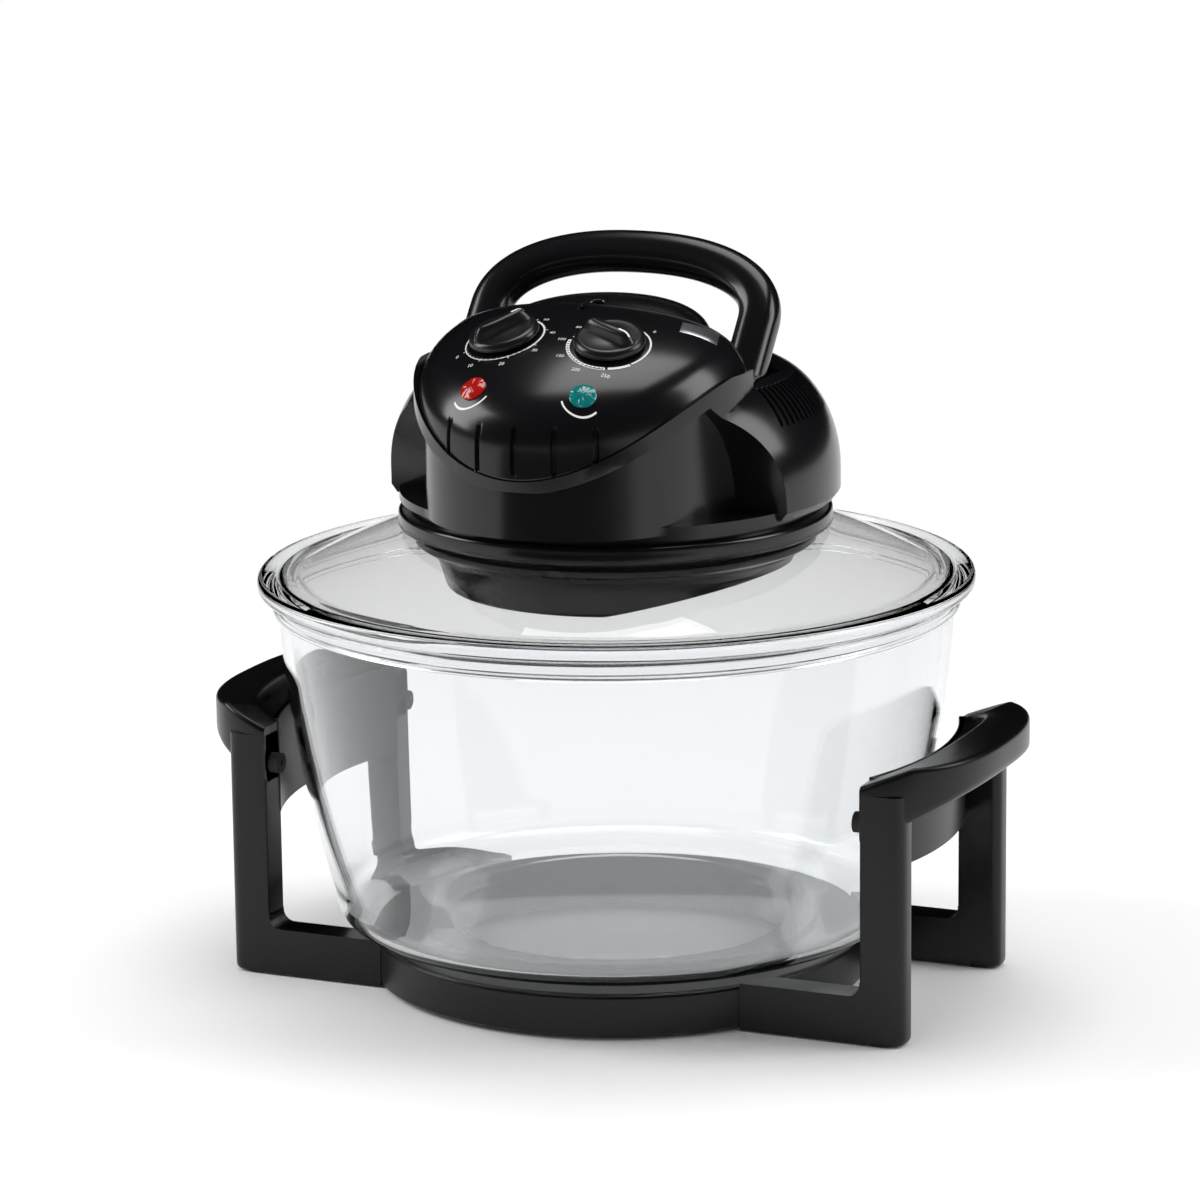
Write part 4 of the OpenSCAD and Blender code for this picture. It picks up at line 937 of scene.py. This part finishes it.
def arm_stub(side, end):
    """The end of an arm with its fillet up to the upright."""
    outline = [(ARM_CUT - 0.5, FRAME_Z), (162, FRAME_Z), (162, ARM_H + 7), (STEM_IN, ARM_H + 7)]
    outline += arc(STEM_IN - 6, ARM_H + 6, 6, 6, 0, -90, 8) + [(ARM_CUT - 0.5, ARM_H)]
    rings = [[(side * x, end * y, z) for x, z in outline] for y in (SPAN - DEEP + 0.01, SPAN - 0.01)]
    return rings_to_solid(rings)


def apron(side):
    """Curved wall between the uprights, and the shelf that ties it to the handle."""
    shelf_z = GRIP_UNDER + SHELF_T
    outline = soft_corners([(APRON_R, APRON_Z), (APRON_R + APRON_T, APRON_Z), (APRON_R + APRON_T, shelf_z),
                            (APRON_R, shelf_z)], (0.8, 0.8, 0.8, 0.8), 3)
    wall, reach = [], asin((SPAN - DEEP + 1.2) / APRON_R)
    for i in range(49):
        a = -reach + 2 * reach * i / 48
        wall.append([(side * r * cos(a), r * sin(a), z) for r, z in outline])
    shelf = []
    for i in range(61):
        x, y = bow(BOW_OUT - BOW_W - STEM_IN + 1, SPAN - DEEP + 1, radians(-80 + 160 * i / 60))
        x0 = sqrt((APRON_R + 1) ** 2 - y * y)
        x = max(x, x0 + 0.2)
        shelf.append([(side * u, y, z) for u, z in ((x0, GRIP_UNDER), (x, GRIP_UNDER), (x, shelf_z), (x0, shelf_z))])
    return [rings_to_solid(wall), rings_to_solid(shelf)]


def side_frame(side, node):
    """The arms cut from the CAD node, with the lofted handle, apron, uprights and arm ends."""
    arms = nodes[node].data.copy()
    bm = bmesh.new()
    bm.from_mesh(arms)
    bmesh.ops.remove_doubles(bm, verts=bm.verts, dist=WELD)
    bmesh.ops.bisect_plane(bm, geom=bm.verts[:] + bm.edges[:] + bm.faces[:], plane_co=(side * ARM_CUT * MM, 0, 0),
                           plane_no=(side, 0, 0), clear_outer=True)
    bmesh.ops.holes_fill(bm, edges=[e for e in bm.edges if e.is_boundary])
    bmesh.ops.dissolve_limit(bm, angle_limit=FLAT, verts=bm.verts, edges=bm.edges)
    bm.verts.index_update()
    parts = [([tuple(v.co / MM) for v in bm.verts], [tuple(v.index for v in f.verts) for f in bm.faces])]
    bm.free()
    bpy.data.meshes.remove(arms)
    parts += [bowed_handle(side), *apron(side)]
    parts += [make(side, end) for end in (-1, 1) for make in (upright, arm_stub)]
    verts, faces = joined(parts)
    return add(node + "_moulding", verts, faces, SATIN, node=node, sharp=30)


made.append(side_frame(-1, "side_frame_left"))
made.append(side_frame(1, "side_frame_right"))


# Mouldings that keep the solids' own shape

BEVELS = {"main_housing": 0.35, "heater_housing": 0.3}
for node in ("main_housing", "collar", "heater_housing", "base_ring", "clamp_ring", "rubber_feet", "bowl_buffers",
             "cord_gland", "halogen_tube", "reflector", "lid_gasket"):
    made.append(merged(node, FINISH[node], 40 if node == "halogen_tube" else 30, BEVELS.get(node, 0)))

for obj in made:
    hand_over(obj)


# Studio

def floor():
    """A pale disc that keeps the shadow and fades into the white around it."""
    bm = bmesh.new()
    bmesh.ops.create_circle(bm, cap_ends=True, segments=96, radius=4.0)
    mesh = bpy.data.meshes.new("studio_floor")
    bm.to_mesh(mesh)
    bm.free()
    obj = linked("studio_floor", mesh)
    mat, tree, shader = principled("pale floor", Base_Color=(0.93, 0.93, 0.93, 1), Roughness=0.75,
                                   Specular_IOR_Level=0.15)
    length = wired(tree, "ShaderNodeVectorMath", {0: object_point(tree)}, operation="LENGTH")
    fade = wired(tree, "ShaderNodeMapRange", {"Value": length.outputs["Value"], "From Min": 0.3, "From Max": 1.3},
                 interpolation_type="SMOOTHSTEP")
    white = wired(tree, "ShaderNodeEmission", {"Color": (1, 1, 1, 1), "Strength": 1.0})
    mix = wired(tree, "ShaderNodeMixShader", {
        "Fac": fade.outputs["Result"], 1: shader.outputs["BSDF"], 2: white.outputs["Emission"]})
    tree.links.new(mix.outputs["Shader"], tree.nodes["Material Output"].inputs["Surface"])
    mesh.materials.append(mat)


def reflection_card(name, mesh):
    """Black cloth that only reflections see, so that gloss keeps its dark parts."""
    obj = linked(name, mesh)
    mat, _, _ = principled(name + " cloth", Base_Color=(0.0, 0.0, 0.0, 1), Roughness=1.0, Specular_IOR_Level=0.0)
    mesh.materials.append(mat)
    obj.visible_camera = False
    obj.visible_diffuse = False
    obj.visible_transmission = False
    obj.visible_shadow = False


def black_tent():
    """A dome of black cloth over the table."""
    bm = bmesh.new()
    bmesh.ops.create_uvsphere(bm, u_segments=48, v_segments=24, radius=6.0)
    bmesh.ops.delete(bm, geom=[v for v in bm.verts if v.co.z < -0.4], context="VERTS")
    mesh = bpy.data.meshes.new("black_tent")
    bm.to_mesh(mesh)
    bm.free()
    reflection_card("black_tent", mesh)


def table_card():
    """A black card laid on the table in front, kept clear of the foot of the oven."""
    mesh = bpy.data.meshes.new("table_card")
    corners = ((-2.2, -3.6), (2.6, -3.6), (1.3, -0.5), (-0.5, -0.75))
    mesh.from_pydata([(x, y, 0.002) for x, y in corners], [], [(0, 1, 2, 3)])
    reflection_card("table_card", mesh)


def soft_box(name, at, look_at, size, power):
    data = bpy.data.lights.new(name, "AREA")
    data.shape = "RECTANGLE"
    data.size, data.size_y = size
    data.energy = power
    obj = linked(name, data)
    obj.location = at
    obj.rotation_euler = (Vector(look_at) - Vector(at)).to_track_quat("-Z", "Y").to_euler()


def world():
    """White to the camera, through glass and in reflections, but a softer light on surfaces."""
    w = bpy.data.worlds.new("white studio")
    bpy.context.scene.world = w
    w.use_nodes = True
    tree = w.node_tree
    tree.nodes.clear()
    soft, seen = (wired(tree, "ShaderNodeBackground", {"Color": (1, 1, 1, 1), "Strength": strength})
                  for strength in (0.55, 1.0))
    path = tree.nodes.new("ShaderNodeLightPath").outputs
    direct = math_node(tree, "MAXIMUM", path["Is Camera Ray"], path["Is Transmission Ray"])
    direct = math_node(tree, "MAXIMUM", direct, path["Is Glossy Ray"])
    mix = wired(tree, "ShaderNodeMixShader", {
        "Fac": direct, 1: soft.outputs["Background"], 2: seen.outputs["Background"]})
    wired(tree, "ShaderNodeOutputWorld", {"Surface": mix.outputs["Shader"]})


def camera():
    """The pinhole camera that was fitted to the oven's rims and rings."""
    data = bpy.data.cameras.new("camera")
    data.sensor_width = 36
    data.lens = 150.92
    data.clip_start = 0.05
    obj = linked("camera", data)
    right = Vector((0.91666896, 0.39948949, -0.01123241))
    up = Vector((-0.07851591, 0.20757842, 0.97506228))
    forward = Vector((-0.39185874, 0.8929274, -0.22164698))
    turn = Matrix((right, up, -forward)).transposed()
    obj.matrix_world = Matrix.Translation((0.955586, -2.197698, 0.73138)) @ turn.to_4x4()
    bpy.context.scene.camera = obj


floor()
black_tent()
table_card()
world()
for light in (("left_box", (-1.9, -0.6, 1.3), (0, 0, 0.22), (1.0, 1.6), 26),
              ("right_box", (2.0, 0.7, 1.5), (0, 0, 0.25), (1.0, 1.6), 22),
              ("top_box", (0.0, 0.4, 2.4), (0, 0, 0.2), (1.6, 1.2), 22)):
    soft_box(*light)
camera()
bpy.context.scene.view_settings.view_transform = "Standard"
